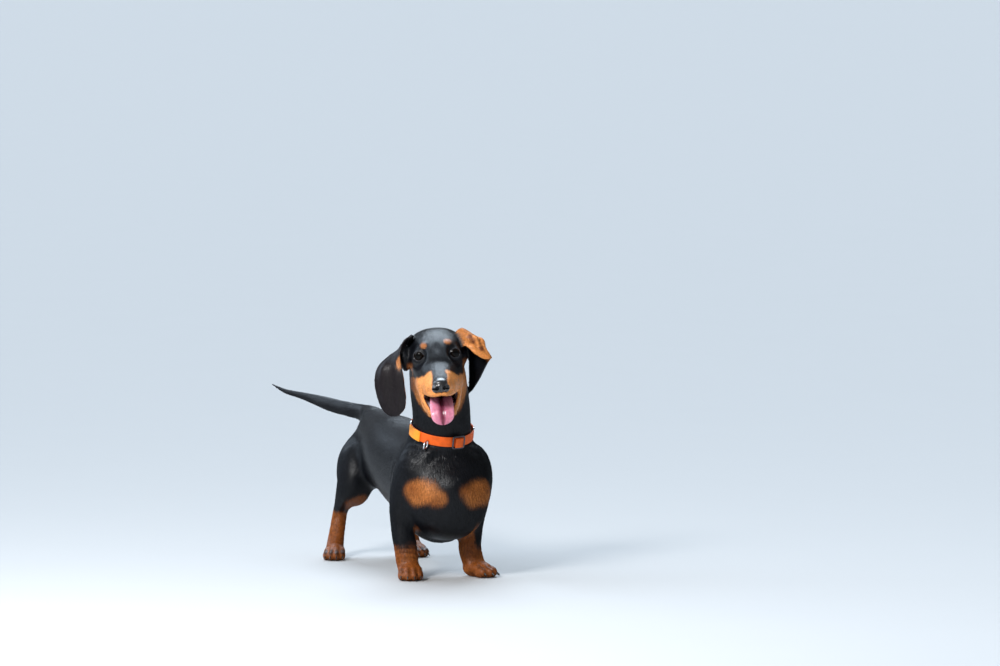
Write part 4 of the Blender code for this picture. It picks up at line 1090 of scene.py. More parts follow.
def on_ears(points, ears):
    """How surely each point is on an ear, the place along it, and the way its hair points."""
    tree = KDTree(sum(grid.shape[0] * grid.shape[1] for grid in ears.values()))
    place, way, side_of = [], [], []
    for side, grid in ears.items():
        along = unit(np.gradient(grid, axis=0))
        for i in range(grid.shape[0]):
            for j in range(grid.shape[1]):
                tree.insert(grid[i, j], len(place))
                place.append(i / (grid.shape[0] - 1))
                way.append(along[i, j])
                side_of.append(-1 if side == "right" else 1)
    tree.balance()
    place, way, side_of = np.array(place), np.array(way), np.array(side_of)
    local = moved(points, head_frame().inverted())
    near_head = np.flatnonzero((np.abs(local[:, 0]) > 18) & (local[:, 2] > -80) & (local[:, 1] > -14) & (local[:, 1] < 50))
    index, away = np.zeros(len(points), int), np.full(len(points), 1e3)
    for k in near_head:
        _, index[k], away[k] = tree.find(points[k])
    sure = 1 - step_up(EAR_THICKNESS * 0.9, EAR_THICKNESS * 1.6, away)
    return sure, place[index], way[index], side_of[index]


def eased_line(table, along):
    places, values = np.array(table, float).T
    return np.interp(along, places, values)


def tan_of_head(local):
    """How tan the coat is at each point of the head, in its frame."""
    x, y, z = np.abs(local[:, 0]), local[:, 1], local[:, 2]
    ragged = 1.2 * wander(local, 7, 3)
    under = step_up(-1.6, 1.6, eased_line(TAN_LINE, y) - z + ragged)
    beside = step_up(-1.2, 1.2, x - BRIDGE_HALF + ragged * 0.6)
    beside = np.maximum(beside, np.maximum(step_up(-34, -28, y), z < -30))
    ahead = step_up(-2.5, 2.5, eased_line(JAW_BACK_LINE, z) - y + ragged)
    found = under * np.clip(beside, 0, 1) * ahead
    strip = step_up(28.8, 30.8, x) * (1 - step_up(35.5, 37, x)) * step_up(-4, 0, y) * (1 - step_up(13, 17, y))
    strip *= 0.8 * step_up(-34, -28, z) * (1 - step_up(-12, -6, z))
    found = np.maximum(found, strip)
    for centre, radii in BROW_SPOTS:
        found = np.maximum(found, 0.85 * step_up(0.18, 0.62, near(local + ragged[:, None] * 0.4, centre, np.array(radii) * 1.5)))
    return found


def tan_of_paws(points):
    """The tan of the feet and pasterns, with the dark stripe down each toe."""
    found = np.zeros(len(points))
    ragged = 1.5 * wander(points, 8, 5)
    x, y, z = points.T
    for side, sign in (("right", -1), ("left", 1)):
        leg = np.array(FORELEGS[side], float)
        inner = -sign * (x - np.interp(z, leg[:, 2], leg[:, 0])) / 14
        edge = 40 + (26 * step_up(-0.3, 0.5, inner) if side == "left" else 0)
        close = (np.abs(inner) < np.where(z > 42, 1.1, 1.7)) & (y < 40) & (y > -60)
        found = np.maximum(found, close * (1 - step_up(edge - 7, edge + 7, z + ragged * 2.2)))
        close = (sign * x > 15) & (y > 190)
        found = np.maximum(found, close * (1 - step_up(58, 62, z + ragged)))
    for paws, width, strength in ((FOREPAWS, FOREPAW_WIDTH, 0.35), (HINDPAWS, HINDPAW_WIDTH, 0.8)):
        for place, turn in paws.values():
            local = moved(points, paw_frame(place, turn).inverted()) / width
            for across, forward in TOES:
                stripe = near(local, (across * 1.03, forward - 0.04, 0.38), (0.13, 0.34, 0.34))
                found = found * (1 - strength * step_up(0.1, 0.6, stripe))
    return found


def mouth_lining(points, normals):
    """Where the skin is the wet lining of the open mouth, between the lips."""
    local = moved(points, head_frame().inverted())
    x, y, z = np.abs(local[:, 0]), local[:, 1], local[:, 2]
    ways = normals @ np.array(head_frame())[:3, :3]
    lower_lip = np.array(LOWER_LIP, float)[::-1]
    upper_lip = np.array(UPPER_LIP, float)
    edge = np.interp(y, lower_lip[:, 1], lower_lip[:, 2])
    inward = unit(np.stack([-local[:, 0], 0 * y, (edge - 38) / 2 - z], axis=1))
    faces_in = step_up(0.0, 0.2, np.sum(ways * inward, axis=1))
    found = np.zeros(len(points))
    for lip, low, high, front in ((upper_lip, -50, -33, -72), (lower_lip, -78, -38, -57)):
        within = 1 - step_up(-0.7, 0.1, x - np.interp(y, lip[:, 1], lip[:, 0]) + 0.4)
        found += within * faces_in * (z > low) * (z < high) * (y > front) * (y < 16)
    return np.clip(found, 0, 1)


def lining_colours(points):
    """Dark in the mouth, partly its own colour and partly painted shade, and mottled grey along the inner side of the
    lower lip, partly painted wet sheen.
    """
    local = moved(points, head_frame().inverted())
    x, y = np.abs(local[:, 0]), local[:, 1]
    lip = np.array(LOWER_LIP, float)[::-1]
    inner = step_up(-11, -5, x - np.interp(y, lip[:, 1], lip[:, 0]))
    inner *= 1 - step_up(1, 4, local[:, 2] - np.interp(y, lip[:, 1], lip[:, 2]))
    # The pale grey is partly the lip's own mottle and partly painted wet sheen
    grey = inner * step_up(-0.7, 0.3, wander(local, 2.6, 15))
    return np.array(MOUTH_DARK_AND_SHADE) + (np.array(LIP_GREY_AND_SHEEN) - np.array(MOUTH_DARK_AND_SHADE)) * grey[:, None]


def coat_colours(points, normals, ears):
    """The coat's colour at each point, with the marks that skin and tufts share, painted shade in the left ear's
    hollows and deep tan that is partly painted shade on the legs.
    """
    local = moved(points, head_frame().inverted())
    on_ear, along, _, side = on_ears(points, ears)
    tan = tan_of_head(local) * (local[:, 2] > -85) * (local[:, 1] < 40) * (np.abs(local[:, 0]) < 46)
    tan = np.maximum(tan, tan_of_paws(points))
    ragged = 0.1 * wander(points, 9, 8)
    for centre, radii, strength, soft in TAN_PATCHES:
        patch = np.sqrt(near(points, centre, np.array(radii) * 1.3))
        patch += ragged * (patch > 0)
        tan = np.maximum(tan, strength * step_up(0.42 - soft / 2, 0.42 + soft / 2, patch))
    forward = normals @ np.array([-0.34, -0.93, 0.1])
    left_inside = step_up(-0.15, 0.25, forward) * (1 - step_up(0.54, 0.62, along)) * step_up(0.03, 0.08, along)
    right_inside = 0.6 * step_up(-0.05, 0.35, normals @ np.array([0.75, 0.5, 0.1])) * step_up(0.3, 0.4, along)
    ear_tan = np.where(side > 0, left_inside, right_inside)
    # Painted shade in the hollows between the folds of the left ear
    hollow_shade = sum(near(local, place, EAR_SHADE_REACH) for place in EAR_SHADE_HOLLOWS)
    rim = near(local, (-45.5, 0, -8), (5, 6, 18)) * (side < 0)
    ear_tan = np.maximum(ear_tan, step_up(0.1, 0.5, rim) * 0.8)
    tan = tan * (1 - on_ear) + ear_tan * on_ear
    # Tan is bright on the face and ears and deep elsewhere: partly the coat's own tone, partly painted shade on the
    # legs
    bright = near(local, (0, -40, -30), (60, 80, 60)) ** 0.5
    bright = np.maximum(bright, 0.5 * on_ear)
    bright = np.maximum(bright, 0.3 * near(points, (0, -35, 106), (70, 50, 30)) ** 0.5)
    shade = (0.5 + 0.5 * wander(points, 12, 9) * 0.6)[:, None]
    warm = np.array(DEEP_TAN_AND_SHADE) + (np.array(TAN_BRIGHT) - np.array(DEEP_TAN_AND_SHADE)) * np.clip(bright[:, None] + 0.35 * (shade - 0.5), 0, 1)
    dark = np.array(BLACK_HAIR) + (np.array(BROWN_BLACK) - np.array(BLACK_HAIR)) * (on_ear * (side < 0))[:, None]
    warm = warm + (np.array(HOLLOW_SHADE_BROWN) - warm) * np.clip(1.3 * hollow_shade * on_ear, 0, 0.85)[:, None]
    return dark + (warm - dark) * tan[:, None]


def coat_flow(points, ears):
    """The way the hair points at each place."""
    flow = np.zeros((len(points), 3))
    matrix = np.array(head_frame())
    rows = [(np.array(place, float), np.array(way, float), reach) for place, way, reach in BODY_FLOW]
    for place, way, reach in HEAD_FLOW:
        rows.append((moved([place], head_frame())[0], matrix[:3, :3] @ way, reach))
    for place, way, reach in rows:
        gap = np.sum((points - place) ** 2, axis=1) / reach**2
        weight = np.exp(-gap) + 1e-9 / (1 + gap)
        flow += weight[:, None] * unit(way)
    on_ear, _, way, _ = on_ears(points, ears)
    return unit(unit(flow) * (1 - on_ear)[:, None] + way * on_ear[:, None])


def set_colours(mesh, name, colours):
    layer = mesh.color_attributes.new(name, "FLOAT_COLOR", "POINT")
    full = np.ones((len(mesh.vertices), 4))
    full[:, :3] = colours
    layer.data.foreach_set("color", full.ravel())


def set_values(mesh, name, values):
    layer = mesh.attributes.new(name, "FLOAT", "POINT")
    layer.data.foreach_set("value", np.asarray(values, np.float32))


def triangles_of(mesh):
    mesh.calc_loop_triangles()
    found = np.empty(len(mesh.loop_triangles) * 3, int)
    mesh.loop_triangles.foreach_get("vertices", found)
    return found.reshape(-1, 3)


def unwrap(skin):
    """A coarse copy of the skin laid flat: its triangles' corners in space and on the map."""
    flat = bpy.data.objects.new("flat", skin.data.copy())
    bpy.context.scene.collection.objects.link(flat)
    remesh(flat, 7)
    bpy.context.view_layer.objects.active = flat
    for obj in bpy.context.selected_objects:
        obj.select_set(False)
    flat.select_set(True)
    bpy.ops.object.mode_set(mode="EDIT")
    bpy.ops.mesh.select_all(action="SELECT")
    bpy.ops.mesh.quads_convert_to_tris()
    bpy.ops.uv.smart_project(angle_limit=math.radians(66), island_margin=0.004)
    bpy.ops.object.mode_set(mode="OBJECT")
    mesh = flat.data
    corners = points_of(mesh)[triangles_of(mesh)]
    places = np.empty(len(mesh.loops) * 2)
    mesh.uv_layers.active.data.foreach_get("uv", places)
    loops = np.array([t.loops[:] for t in mesh.loop_triangles])
    map_corners = places.reshape(-1, 2)[loops]
    bpy.data.objects.remove(flat)
    return corners, map_corners


def tree_of(corners):
    points = (corners * MM).reshape(-1, 3)
    faces = np.arange(len(points)).reshape(-1, 3)
    return BVHTree.FromPolygons(points.tolist(), faces.tolist())


def map_places(points, corners, map_corners):
    """Where each point falls on the skin's flat map."""
    tree = tree_of(corners)
    index = np.array([tree.find_nearest(point)[2] for point in (points * MM).tolist()])
    a, b, c = np.moveaxis(corners[index], 1, 0)
    ab, ac, ap = b - a, c - a, points - a
    dot = lambda p, q: np.sum(p * q, axis=1)
    scale = dot(ab, ab) * dot(ac, ac) - dot(ab, ac) ** 2
    v = (dot(ac, ac) * dot(ap, ab) - dot(ab, ac) * dot(ap, ac)) / scale
    w = (dot(ab, ab) * dot(ap, ac) - dot(ab, ac) * dot(ap, ab)) / scale
    v, w = np.clip(v, 0, 1), np.clip(w, 0, 1)
    over = np.maximum(v + w, 1)
    v, w = (v / over)[:, None], (w / over)[:, None]
    first, second, third = np.moveaxis(map_corners[index], 1, 0)
    return first * (1 - v - w) + second * v + third * w


def tuft_sizes(points, ears):
    """The size and number of the tufts at each point: small on face, ears and feet."""
    local = moved(points, head_frame().inverted())
    head = step_up(0.02, 0.25, near(local, (0, -5, -15), (66, 100, 80)))[:, None]
    muzzle = step_up(0.02, 0.4, near(local, (0, -60, -35), (34, 42, 40)))[:, None]
    paw = step_up(0.02, 0.4, paw_nearness(points))[:, None]
    ear = on_ears(points, ears)[0][:, None]
    found = np.array(BODY_TUFT) * np.ones((len(points), 1))
    for share, kind in ((head, HEAD_TUFT), (ear, EAR_TUFT), (paw, PAW_TUFT)):
        found = found * (1 - share) + np.array(kind) * share
    found[:, 0] *= 1 - 0.4 * muzzle[:, 0]
    found[:, 4] *= 1 + 0.3 * muzzle[:, 0]
    return found


def bare(points, normals):
    """Where no tuft grows: eyes, nose leather, mouth, soles and under the webbing."""
    found = mouth_lining(points, normals) > 0.3
    wide, high = EYE_OPENING
    for side in (-1, 1):
        local = moved(points, eye_axis(side).inverted())
        found |= (np.hypot(local[:, 0] / (wide + 1.2), local[:, 2] / (high + 1.2)) < 1) & (local[:, 1] < 0)
    local = moved(points, head_frame().inverted())
    for centre, radii in NOSE_BLOBS:
        found |= np.sum(((local - centre) / (np.array(radii) + 0.4)) ** 2, axis=1) < 1
    ring = Matrix.Translation(COLLAR_CENTRE) @ turned(pitch=COLLAR_TILT)
    local = moved(points, ring.inverted())
    near_ring = np.hypot(local[:, 0] / COLLAR_OVAL[0], local[:, 1] / COLLAR_OVAL[1]) < 1.35
    found |= near_ring & (np.abs(local[:, 2]) < BAND_HEIGHT / 2 + 0.6)
    return found | (points[:, 2] < 0.8)


def scatter(skin, ears):
    """Roots of tufts over the skin, evenly by chance, with the skin's normal at each."""
    rng = np.random.default_rng(SEED)
    mesh = skin.data
    points, normals, triangles = points_of(mesh), normals_of(mesh), triangles_of(mesh)
    corners = points[triangles]
    middle = corners.mean(axis=1)
    area = np.linalg.norm(np.cross(corners[:, 1] - corners[:, 0], corners[:, 2] - corners[:, 0]), axis=1) / 2
    sizes = tuft_sizes(middle, ears)
    expected = area * sizes[:, 4]
    count = np.floor(expected + rng.random(len(expected))).astype(int)
    index = np.repeat(np.arange(len(triangles)), count)
    u, v = rng.random((2, len(index)))
    fold = u + v > 1
    u[fold], v[fold] = 1 - u[fold], 1 - v[fold]
    share = np.stack([1 - u - v, u, v], axis=1)[:, :, None]
    roots = np.sum(corners[index] * share, axis=1)
    ways = unit(np.sum(normals[triangles[index]] * share, axis=1))
    kept = ~bare(roots, ways)
    return roots[kept], ways[kept], sizes[index][kept]


def tufts_over(skin, ears):
    """Thin pointed tufts that lie along the coat. Each is a back edge, a ridge and a tip."""
    rng = np.random.default_rng(SEED + 1)
    roots, normals, sizes = scatter(skin, ears)
    length, half, rise, lift = sizes[:, 0], sizes[:, 1], sizes[:, 2], sizes[:, 3]
    length = length * rng.uniform(0.75, 1.15, len(roots))
    flow = coat_flow(roots, ears) + rng.normal(0, 0.09, (len(roots), 3))
    flow = unit(flow - normals * np.sum(flow * normals, axis=1)[:, None])
    aside = np.cross(normals, flow)
    tips = roots + flow * length[:, None]
    tree = tree_of(points_of(skin.data)[triangles_of(skin.data)])
    found = [tree.find_nearest(tip) for tip in (tips * MM).tolist()]
    ground = np.array([hit[0] for hit in found]) / MM
    ground_way = np.array([hit[1] for hit in found])
    drop = np.sum((tips - ground) * normals, axis=1)
    kept = (np.abs(drop) < length * 0.5) & ~bare(ground, ground_way)
    lift = lift * rng.uniform(0.5, 1.4, len(roots))
    tips = ground + ground_way * lift[:, None]
    sink = roots - normals * 0.15
    left, right = sink - aside * half[:, None], sink + aside * half[:, None]
    ridge_height = rise * rng.uniform(0.7, 1.2, len(roots)) + 0.2 * np.maximum(drop, 0)
    ridge = roots * 0.65 + ground * 0.35 + normals * ridge_height[:, None]
    tufts = np.stack([left, right, ridge, tips], axis=1)[kept]
    return roots[kept], normals[kept], ground_way[kept], tufts


def make_coat(skin, ears):
    """The tufts, as several meshes in order along the body."""
    roots, normals, tip_ways, tufts = tufts_over(skin, ears)
    rng = np.random.default_rng(SEED + 2)
    colours = coat_colours(roots + rng.normal(0, 0.5, roots.shape), normals, ears)
    colours *= rng.uniform(0.65, 1.35, (len(roots), 1))
    flat = map_places(roots, *unwrap(skin))
    order = np.argsort(roots[:, 1])
    pieces = []
    material = coat_material("coat")
    for number, chosen in enumerate(np.array_split(order, math.ceil(len(order) / TUFTS_A_PIECE))):
        pieces.append(coat_piece(f"coat_{number + 1}", chosen, tufts, normals, tip_ways, colours, flat, material))
    return pieces


def coat_piece(name, chosen, tufts, normals, tip_ways, colours, flat, material):
    count = len(chosen)
    points = tufts[chosen].reshape(-1, 3)
    start = (np.arange(count) * 4)[:, None, None]
    faces = (start + np.array([(0, 2, 1), (1, 2, 3), (0, 3, 2), (0, 1, 3)])).reshape(-1, 3)
    mesh = bpy.data.meshes.new(name)
    mesh.vertices.add(len(points))
    mesh.loops.add(faces.size)
    mesh.polygons.add(len(faces))
    mesh.vertices.foreach_set("co", (points * MM).ravel())
    mesh.loops.foreach_set("vertex_index", faces.ravel())
    mesh.polygons.foreach_set("loop_start", np.arange(len(faces)) * 3)
    mesh.update(calc_edges=True)
    set_colours(mesh, "coat_colour", np.repeat(colours[chosen], 4, axis=0))
    layer = mesh.uv_layers.new(name="OFBake")
    spread = np.array([(-0.0015, -0.001), (0.0015, -0.001), (0, 0), (0, 0.0015)])
    places = np.clip(flat[chosen][:, None] + spread, 0.0005, 0.9995).reshape(-1, 2)
    layer.data.foreach_set("uv", places[faces.ravel()].ravel())
    smooth_shading(mesh)
    way, tip_way = normals[chosen], tip_ways[chosen]
    aside = unit(tufts[chosen, 1] - tufts[chosen, 0])
    tilt = np.random.default_rng(SEED + 3).normal(0, TUFT_TILT, (count, 1)) * aside
    left, right = way + tilt - TUFT_ROUND * aside, way + tilt + TUFT_ROUND * aside
    found = np.stack([left, right, way + tilt, tip_way + tilt], axis=1).reshape(-1, 3)
    mesh.normals_split_custom_set_from_vertices(unit(found).tolist())
    obj = bpy.data.objects.new(name, mesh)
    bpy.context.scene.collection.objects.link(obj)
    mesh.materials.append(material)
    return obj


def new_material(name, roughness, specular=0.5):
    found = bpy.data.materials.new(name)
    found.use_nodes = True
    nodes, links = found.node_tree.nodes, found.node_tree.links
    shader = nodes["Principled BSDF"]
    shader.inputs["Roughness"].default_value = roughness
    shader.inputs["Specular IOR Level"].default_value = specular
    return found, nodes, links, shader


def noise_node(nodes, links, scale, detail=3.0, stretch=None):
    """A noise in the object's own space, drawn out by the stretch."""
    place = nodes.new("ShaderNodeTexCoord")
    noise = nodes.new("ShaderNodeTexNoise")
    noise.inputs["Scale"].default_value = scale
    noise.inputs["Detail"].default_value = detail
    if stretch:
        mapping = nodes.new("ShaderNodeMapping")
        mapping.inputs["Scale"].default_value = stretch
        links.new(place.outputs["Object"], mapping.inputs["Vector"])
        links.new(mapping.outputs["Vector"], noise.inputs["Vector"])
    else:
        links.new(place.outputs["Object"], noise.inputs["Vector"])
    return noise


def bump_from(nodes, links, shader, height, distance, strength=1.0):
    bump = nodes.new("ShaderNodeBump")
    bump.inputs["Distance"].default_value = distance * MM
    bump.inputs["Strength"].default_value = strength
    links.new(height, bump.inputs["Height"])
    links.new(bump.outputs["Normal"], shader.inputs["Normal"])
    return bump


def varied(nodes, links, colour, noise, low, high):
    """The colour made darker and lighter by the noise, between the two factors."""
    spread = nodes.new("ShaderNodeMapRange")
    spread.inputs["From Min"].default_value = 0.3
    spread.inputs["From Max"].default_value = 0.7
    spread.inputs["To Min"].default_value = low
    spread.inputs["To Max"].default_value = high
    links.new(noise, spread.inputs["Value"])
    mix = nodes.new("ShaderNodeVectorMath")
    mix.operation = "SCALE"
    links.new(colour, mix.inputs[0])
    links.new(spread.outputs["Result"], mix.inputs["Scale"])
    return mix.outputs["Vector"]


def coat_material(name):
    """Glossy short hair over the colours that the mesh carries."""
    found, nodes, links, shader = new_material(name, 0.33, 0.24)
    colour = nodes.new("ShaderNodeAttribute")
    colour.attribute_name = "coat_colour"
    noise = noise_node(nodes, links, 420)
    links.new(varied(nodes, links, colour.outputs["Color"], noise.outputs["Fac"], 0.75, 1.25), shader.inputs["Base Color"])
    fine = noise_node(nodes, links, 900, stretch=(1, 0.25, 1))
    bump_from(nodes, links, shader, fine.outputs["Fac"], 0.25, 0.6)
    return found


def skin_material():
    """Short hair lying flat, and the wet lining of the mouth, whose dark colour is partly painted shade."""
    found, nodes, links, shader = new_material("skin", 0.5, 0.24)
    colour = nodes.new("ShaderNodeAttribute")
    colour.attribute_name = "coat_colour"
    noise = noise_node(nodes, links, 420)
    hair = varied(nodes, links, colour.outputs["Color"], noise.outputs["Fac"], 0.7, 1.2)
    links.new(hair, shader.inputs["Base Color"])
    lining = nodes.new("ShaderNodeAttribute")
    lining.attribute_name = "lining"
    gloss = nodes.new("ShaderNodeMapRange")
    gloss.inputs["To Min"].default_value = 0.5
    gloss.inputs["To Max"].default_value = 0.22
    links.new(lining.outputs["Fac"], gloss.inputs["Value"])
    links.new(gloss.outputs["Result"], shader.inputs["Roughness"])
    fine = noise_node(nodes, links, 900, stretch=(1, 0.25, 1))
    bump_from(nodes, links, shader, fine.outputs["Fac"], 0.3, 0.6)
    return found


def eye_material():
    """Wet and near black, with a dark brown iris round the pupil."""
    found, nodes, links, shader = new_material("eye", 0.5, 0.0)
    away = nodes.new("ShaderNodeAttribute")
    away.attribute_name = "away"
    ramp = nodes.new("ShaderNodeValToRGB")
    stops = ramp.color_ramp.elements
    stops[0].position, stops[0].color = 0.0, (0.001, 0.001, 0.001, 1)
    stops[1].position, stops[1].color = 1.0, (0.006, 0.004, 0.003, 1)
    for position, colour in ((0.28, (0.001, 0.001, 0.001)), (0.33, IRIS_BROWN), (0.56, IRIS_BROWN), (0.64, (0.002, 0.0015, 0.0015))):
        stop = stops.new(position)
        stop.color = (*colour, 1)
    links.new(away.outputs["Fac"], ramp.inputs["Fac"])
    noise = noise_node(nodes, links, 700)
    links.new(varied(nodes, links, ramp.outputs["Color"], noise.outputs["Fac"], 0.6, 1.5), shader.inputs["Base Color"])
    shader.inputs["Coat Weight"].default_value = 1.0
    shader.inputs["Coat Roughness"].default_value = 0.02
    shader.inputs["Coat IOR"].default_value = 1.22
    return found


def make_eye(side, name):
    """An eyeball with its clear front swelling a little forward."""
    bm = bmesh.new()
    bmesh.ops.create_uvsphere(bm, u_segments=72, v_segments=48, radius=1, matrix=turned(pitch=90))
    eye = object_of(bm, "eyeball_" + name)
    points = points_of(eye.data) * MM
    away = np.hypot(points[:, 0], points[:, 2])
    swell = 1 + 0.05 * (1 - step_up(0.35, 0.75, away)) * (points[:, 1] < 0)
    set_values(eye.data, "away", np.where(points[:, 1] < 0, away, 1))
    set_points(eye.data, moved(points * EYE_RADIUS * swell[:, None], eye_axis(side)))
    smooth_shading(eye.data)
    eye.data.materials.append(eye_material())
    settle(eye, "eye_" + name, slot="wet_eye")


def lid_material():
    found, nodes, links, shader = new_material("lid", 0.16)
    noise = noise_node(nodes, links, 900)
    shader.inputs["Base Color"].default_value = (0.03, 0.029, 0.033, 1)
    bump_from(nodes, links, shader, noise.outputs["Fac"], 0.12, 0.6)
    return found


def make_lid_rim(side, name):
    """The bare wet edge of the lids, a thin roll that lies on the eyeball."""
    sides, turns = 10, 90
    x, z = lid_edge(np.linspace(0, 2 * math.pi, turns, endpoint=False), side)
    y = -np.sqrt((EYE_RADIUS + LID_ROLL * 0.55) ** 2 - x * x - z * z)
    line = np.stack([x, y, z], axis=1)
    out = unit(line)
    aside = unit(np.cross(out, np.roll(line, -1, axis=0) - np.roll(line, 1, axis=0)))
    around = np.linspace(0, 2 * math.pi, sides, endpoint=False)[:, None]
    rings = line[:, None] + LID_ROLL * (1.15 * np.cos(around) * aside[:, None] + 0.85 * np.sin(around) * out[:, None])
    faces = []
    for i in range(turns):
        for k in range(sides):
            a, b = i * sides + k, i * sides + (k + 1) % sides
            c, d = ((i + 1) % turns) * sides + (k + 1) % sides, ((i + 1) % turns) * sides + k
            faces.append((a, b, c, d))
    rim = mesh_object("lid_rim_" + name, moved(rings.reshape(-1, 3), eye_axis(side)), faces)
    tidy_normals(rim)
    smooth_shading(rim.data)
    rim.data.materials.append(lid_material())
    settle(rim, slot="black_coat")


def nose_material():
    """Moist black leather with fine pebbles."""
    found, nodes, links, shader = new_material("nose leather", 0.3, 0.6)
    noise = noise_node(nodes, links, 300)
    base = nodes.new("ShaderNodeRGB")
    base.outputs[0].default_value = (*NOSE_BLACK, 1)
    links.new(varied(nodes, links, base.outputs[0], noise.outputs["Fac"], 0.7, 1.3), shader.inputs["Base Color"])
    place = nodes.new("ShaderNodeTexCoord")
    cells = nodes.new("ShaderNodeTexVoronoi")
    cells.feature = "SMOOTH_F1"
    cells.inputs["Scale"].default_value = 1100
    links.new(place.outputs["Object"], cells.inputs["Vector"])
    bump_from(nodes, links, shader, cells.outputs["Distance"], 0.35, 0.5).invert = True
    shader.inputs["Coat Weight"].default_value = 0.5
    shader.inputs["Coat Roughness"].default_value = 0.15
    return found


def make_nose():
    """The nose leather, with its groove and two nostrils that cut round to the sides."""
    bm = bmesh.new()
    for centre, radii in NOSE_BLOBS:
        add_blob(bm, centre, radii, head_frame())
    nose = object_of(bm, "nose_leather")
    remesh(nose, NOSE_VOXEL)
    mesh = nose.data
    relax(mesh, 24, np.zeros(len(mesh.vertices)))
    points = points_of(mesh)
    local = moved(points, head_frame().inverted())
    local = moved(points - normals_of(mesh) * near(local, *NOSE_GROOVE)[:, None], head_frame().inverted())
    for side in (-1, 1):
        for (x, y, z), radii in (NOSTRIL, NOSTRIL_SLIT):
            offset = (local - (side * x, y, z)) / radii
            across = np.sum(offset[:, [0, 2]] ** 2, axis=1)
            inside = (across < 1) & (offset[:, 1] < 1.2)
            depth = np.sqrt(np.clip(1 - across, 0, 1)) * radii[1] * 1.1
            back = np.maximum(y + depth, local[:, 1])
            local[inside, 1] = back[inside]
    set_points(mesh, moved(local, head_frame()))
    relax(mesh, 2, np.zeros(len(mesh.vertices)))
    smooth_shading(mesh)
    mesh.materials.append(nose_material())
    settle(nose, "nose", slot="nose_leather")


def tongue_material():
    """Moist pink, with painted shade along the groove, paler edges that are partly painted highlight, and fine
    papillae.
    """
    found, nodes, links, shader = new_material("tongue", 0.3)
    across = nodes.new("ShaderNodeAttribute")
    across.attribute_name = "across"
    ramp = nodes.new("ShaderNodeValToRGB")
    stops = ramp.color_ramp.elements
    stops[0].position, stops[0].color = 0.0, (*TONGUE_GROOVE_SHADE, 1)
    stops[1].position, stops[1].color = 1.0, (*TONGUE_EDGE_AND_HIGHLIGHT, 1)
    # Painted shade in the groove, then pink, then paler edges that are partly painted highlight
    for position, colour in ((0.09, TONGUE_GROOVE_SHADE), (0.34, TONGUE_PINK)):
        stop = stops.new(position)
        stop.color = (*colour, 1)
    links.new(across.outputs["Fac"], ramp.inputs["Fac"])
    noise = noise_node(nodes, links, 260)
    links.new(varied(nodes, links, ramp.outputs["Color"], noise.outputs["Fac"], 0.85, 1.12), shader.inputs["Base Color"])
    shader.inputs["Subsurface Weight"].default_value = 0.25
    shader.inputs["Subsurface Radius"].default_value = (1.0, 0.3, 0.2)
    shader.inputs["Subsurface Scale"].default_value = 0.002
    streaks = noise_node(nodes, links, 120, stretch=(2.2, 0.4, 0.35))
    rough = nodes.new("ShaderNodeMapRange")
    rough.inputs["From Min"].default_value, rough.inputs["From Max"].default_value = 0.35, 0.65
    rough.inputs["To Min"].default_value, rough.inputs["To Max"].default_value = 0.14, 0.42
    links.new(streaks.outputs["Fac"], rough.inputs["Value"])
    links.new(rough.outputs["Result"], shader.inputs["Roughness"])
    bump_from(nodes, links, shader, streaks.outputs["Fac"], 1.2, 0.6)
    return found


def make_tongue():
    rings = section_rings(TONGUE, 8, 64, 2.6, TONGUE_GROOVE)
    points, faces = skin_of_rings(rings)
    widest = np.max(np.abs(rings[:, :, 0]), axis=1)
    across = np.abs(rings[:, :, 0]) / np.maximum(widest[:, None], 1)
    tongue = mesh_object("tongue_flesh", moved(points, head_frame()), faces)
    tidy_normals(tongue)
    set_values(tongue.data, "across", np.append(across.ravel(), [1, 1]))
    smooth_shading(tongue.data)
    tongue.data.materials.append(tongue_material())
    settle(tongue, "tongue", slot="tongue_flesh")


def claw_material():
    found, nodes, links, shader = new_material("claw", 0.35)
    base = nodes.new("ShaderNodeRGB")
    base.outputs[0].default_value = (0.02, 0.013, 0.01, 1)
    noise = noise_node(nodes, links, 500, stretch=(1, 0.2, 1))
    links.new(varied(nodes, links, base.outputs[0], noise.outputs["Fac"], 0.6, 1.8), shader.inputs["Base Color"])
    bump_from(nodes, links, shader, noise.outputs["Fac"], 0.1, 0.5)
    return found


def make_claws():
    bm = bmesh.new()
    aside, ahead, up = CLAW_PLACE
    for paws, width in ((FOREPAWS, FOREPAW_WIDTH), (HINDPAWS, HINDPAW_WIDTH)):
        for place, turn in paws.values():
            for across, forward in TOES:
                root = Matrix.Translation(Vector((across * aside, forward + ahead, up)) * width)
                splay = turned(across * CLAW_SPLAY, pitch=CLAW_PITCH)
                rings = claw_rings(paw_frame(place, turn) @ root @ splay)
                add_mesh(bm, *skin_of_rings(rings))
    claws = object_of(bm, "claws")
    smooth_shading(claws.data)
    claws.data.materials.append(claw_material())
    settle(claws, slot="black_coat")


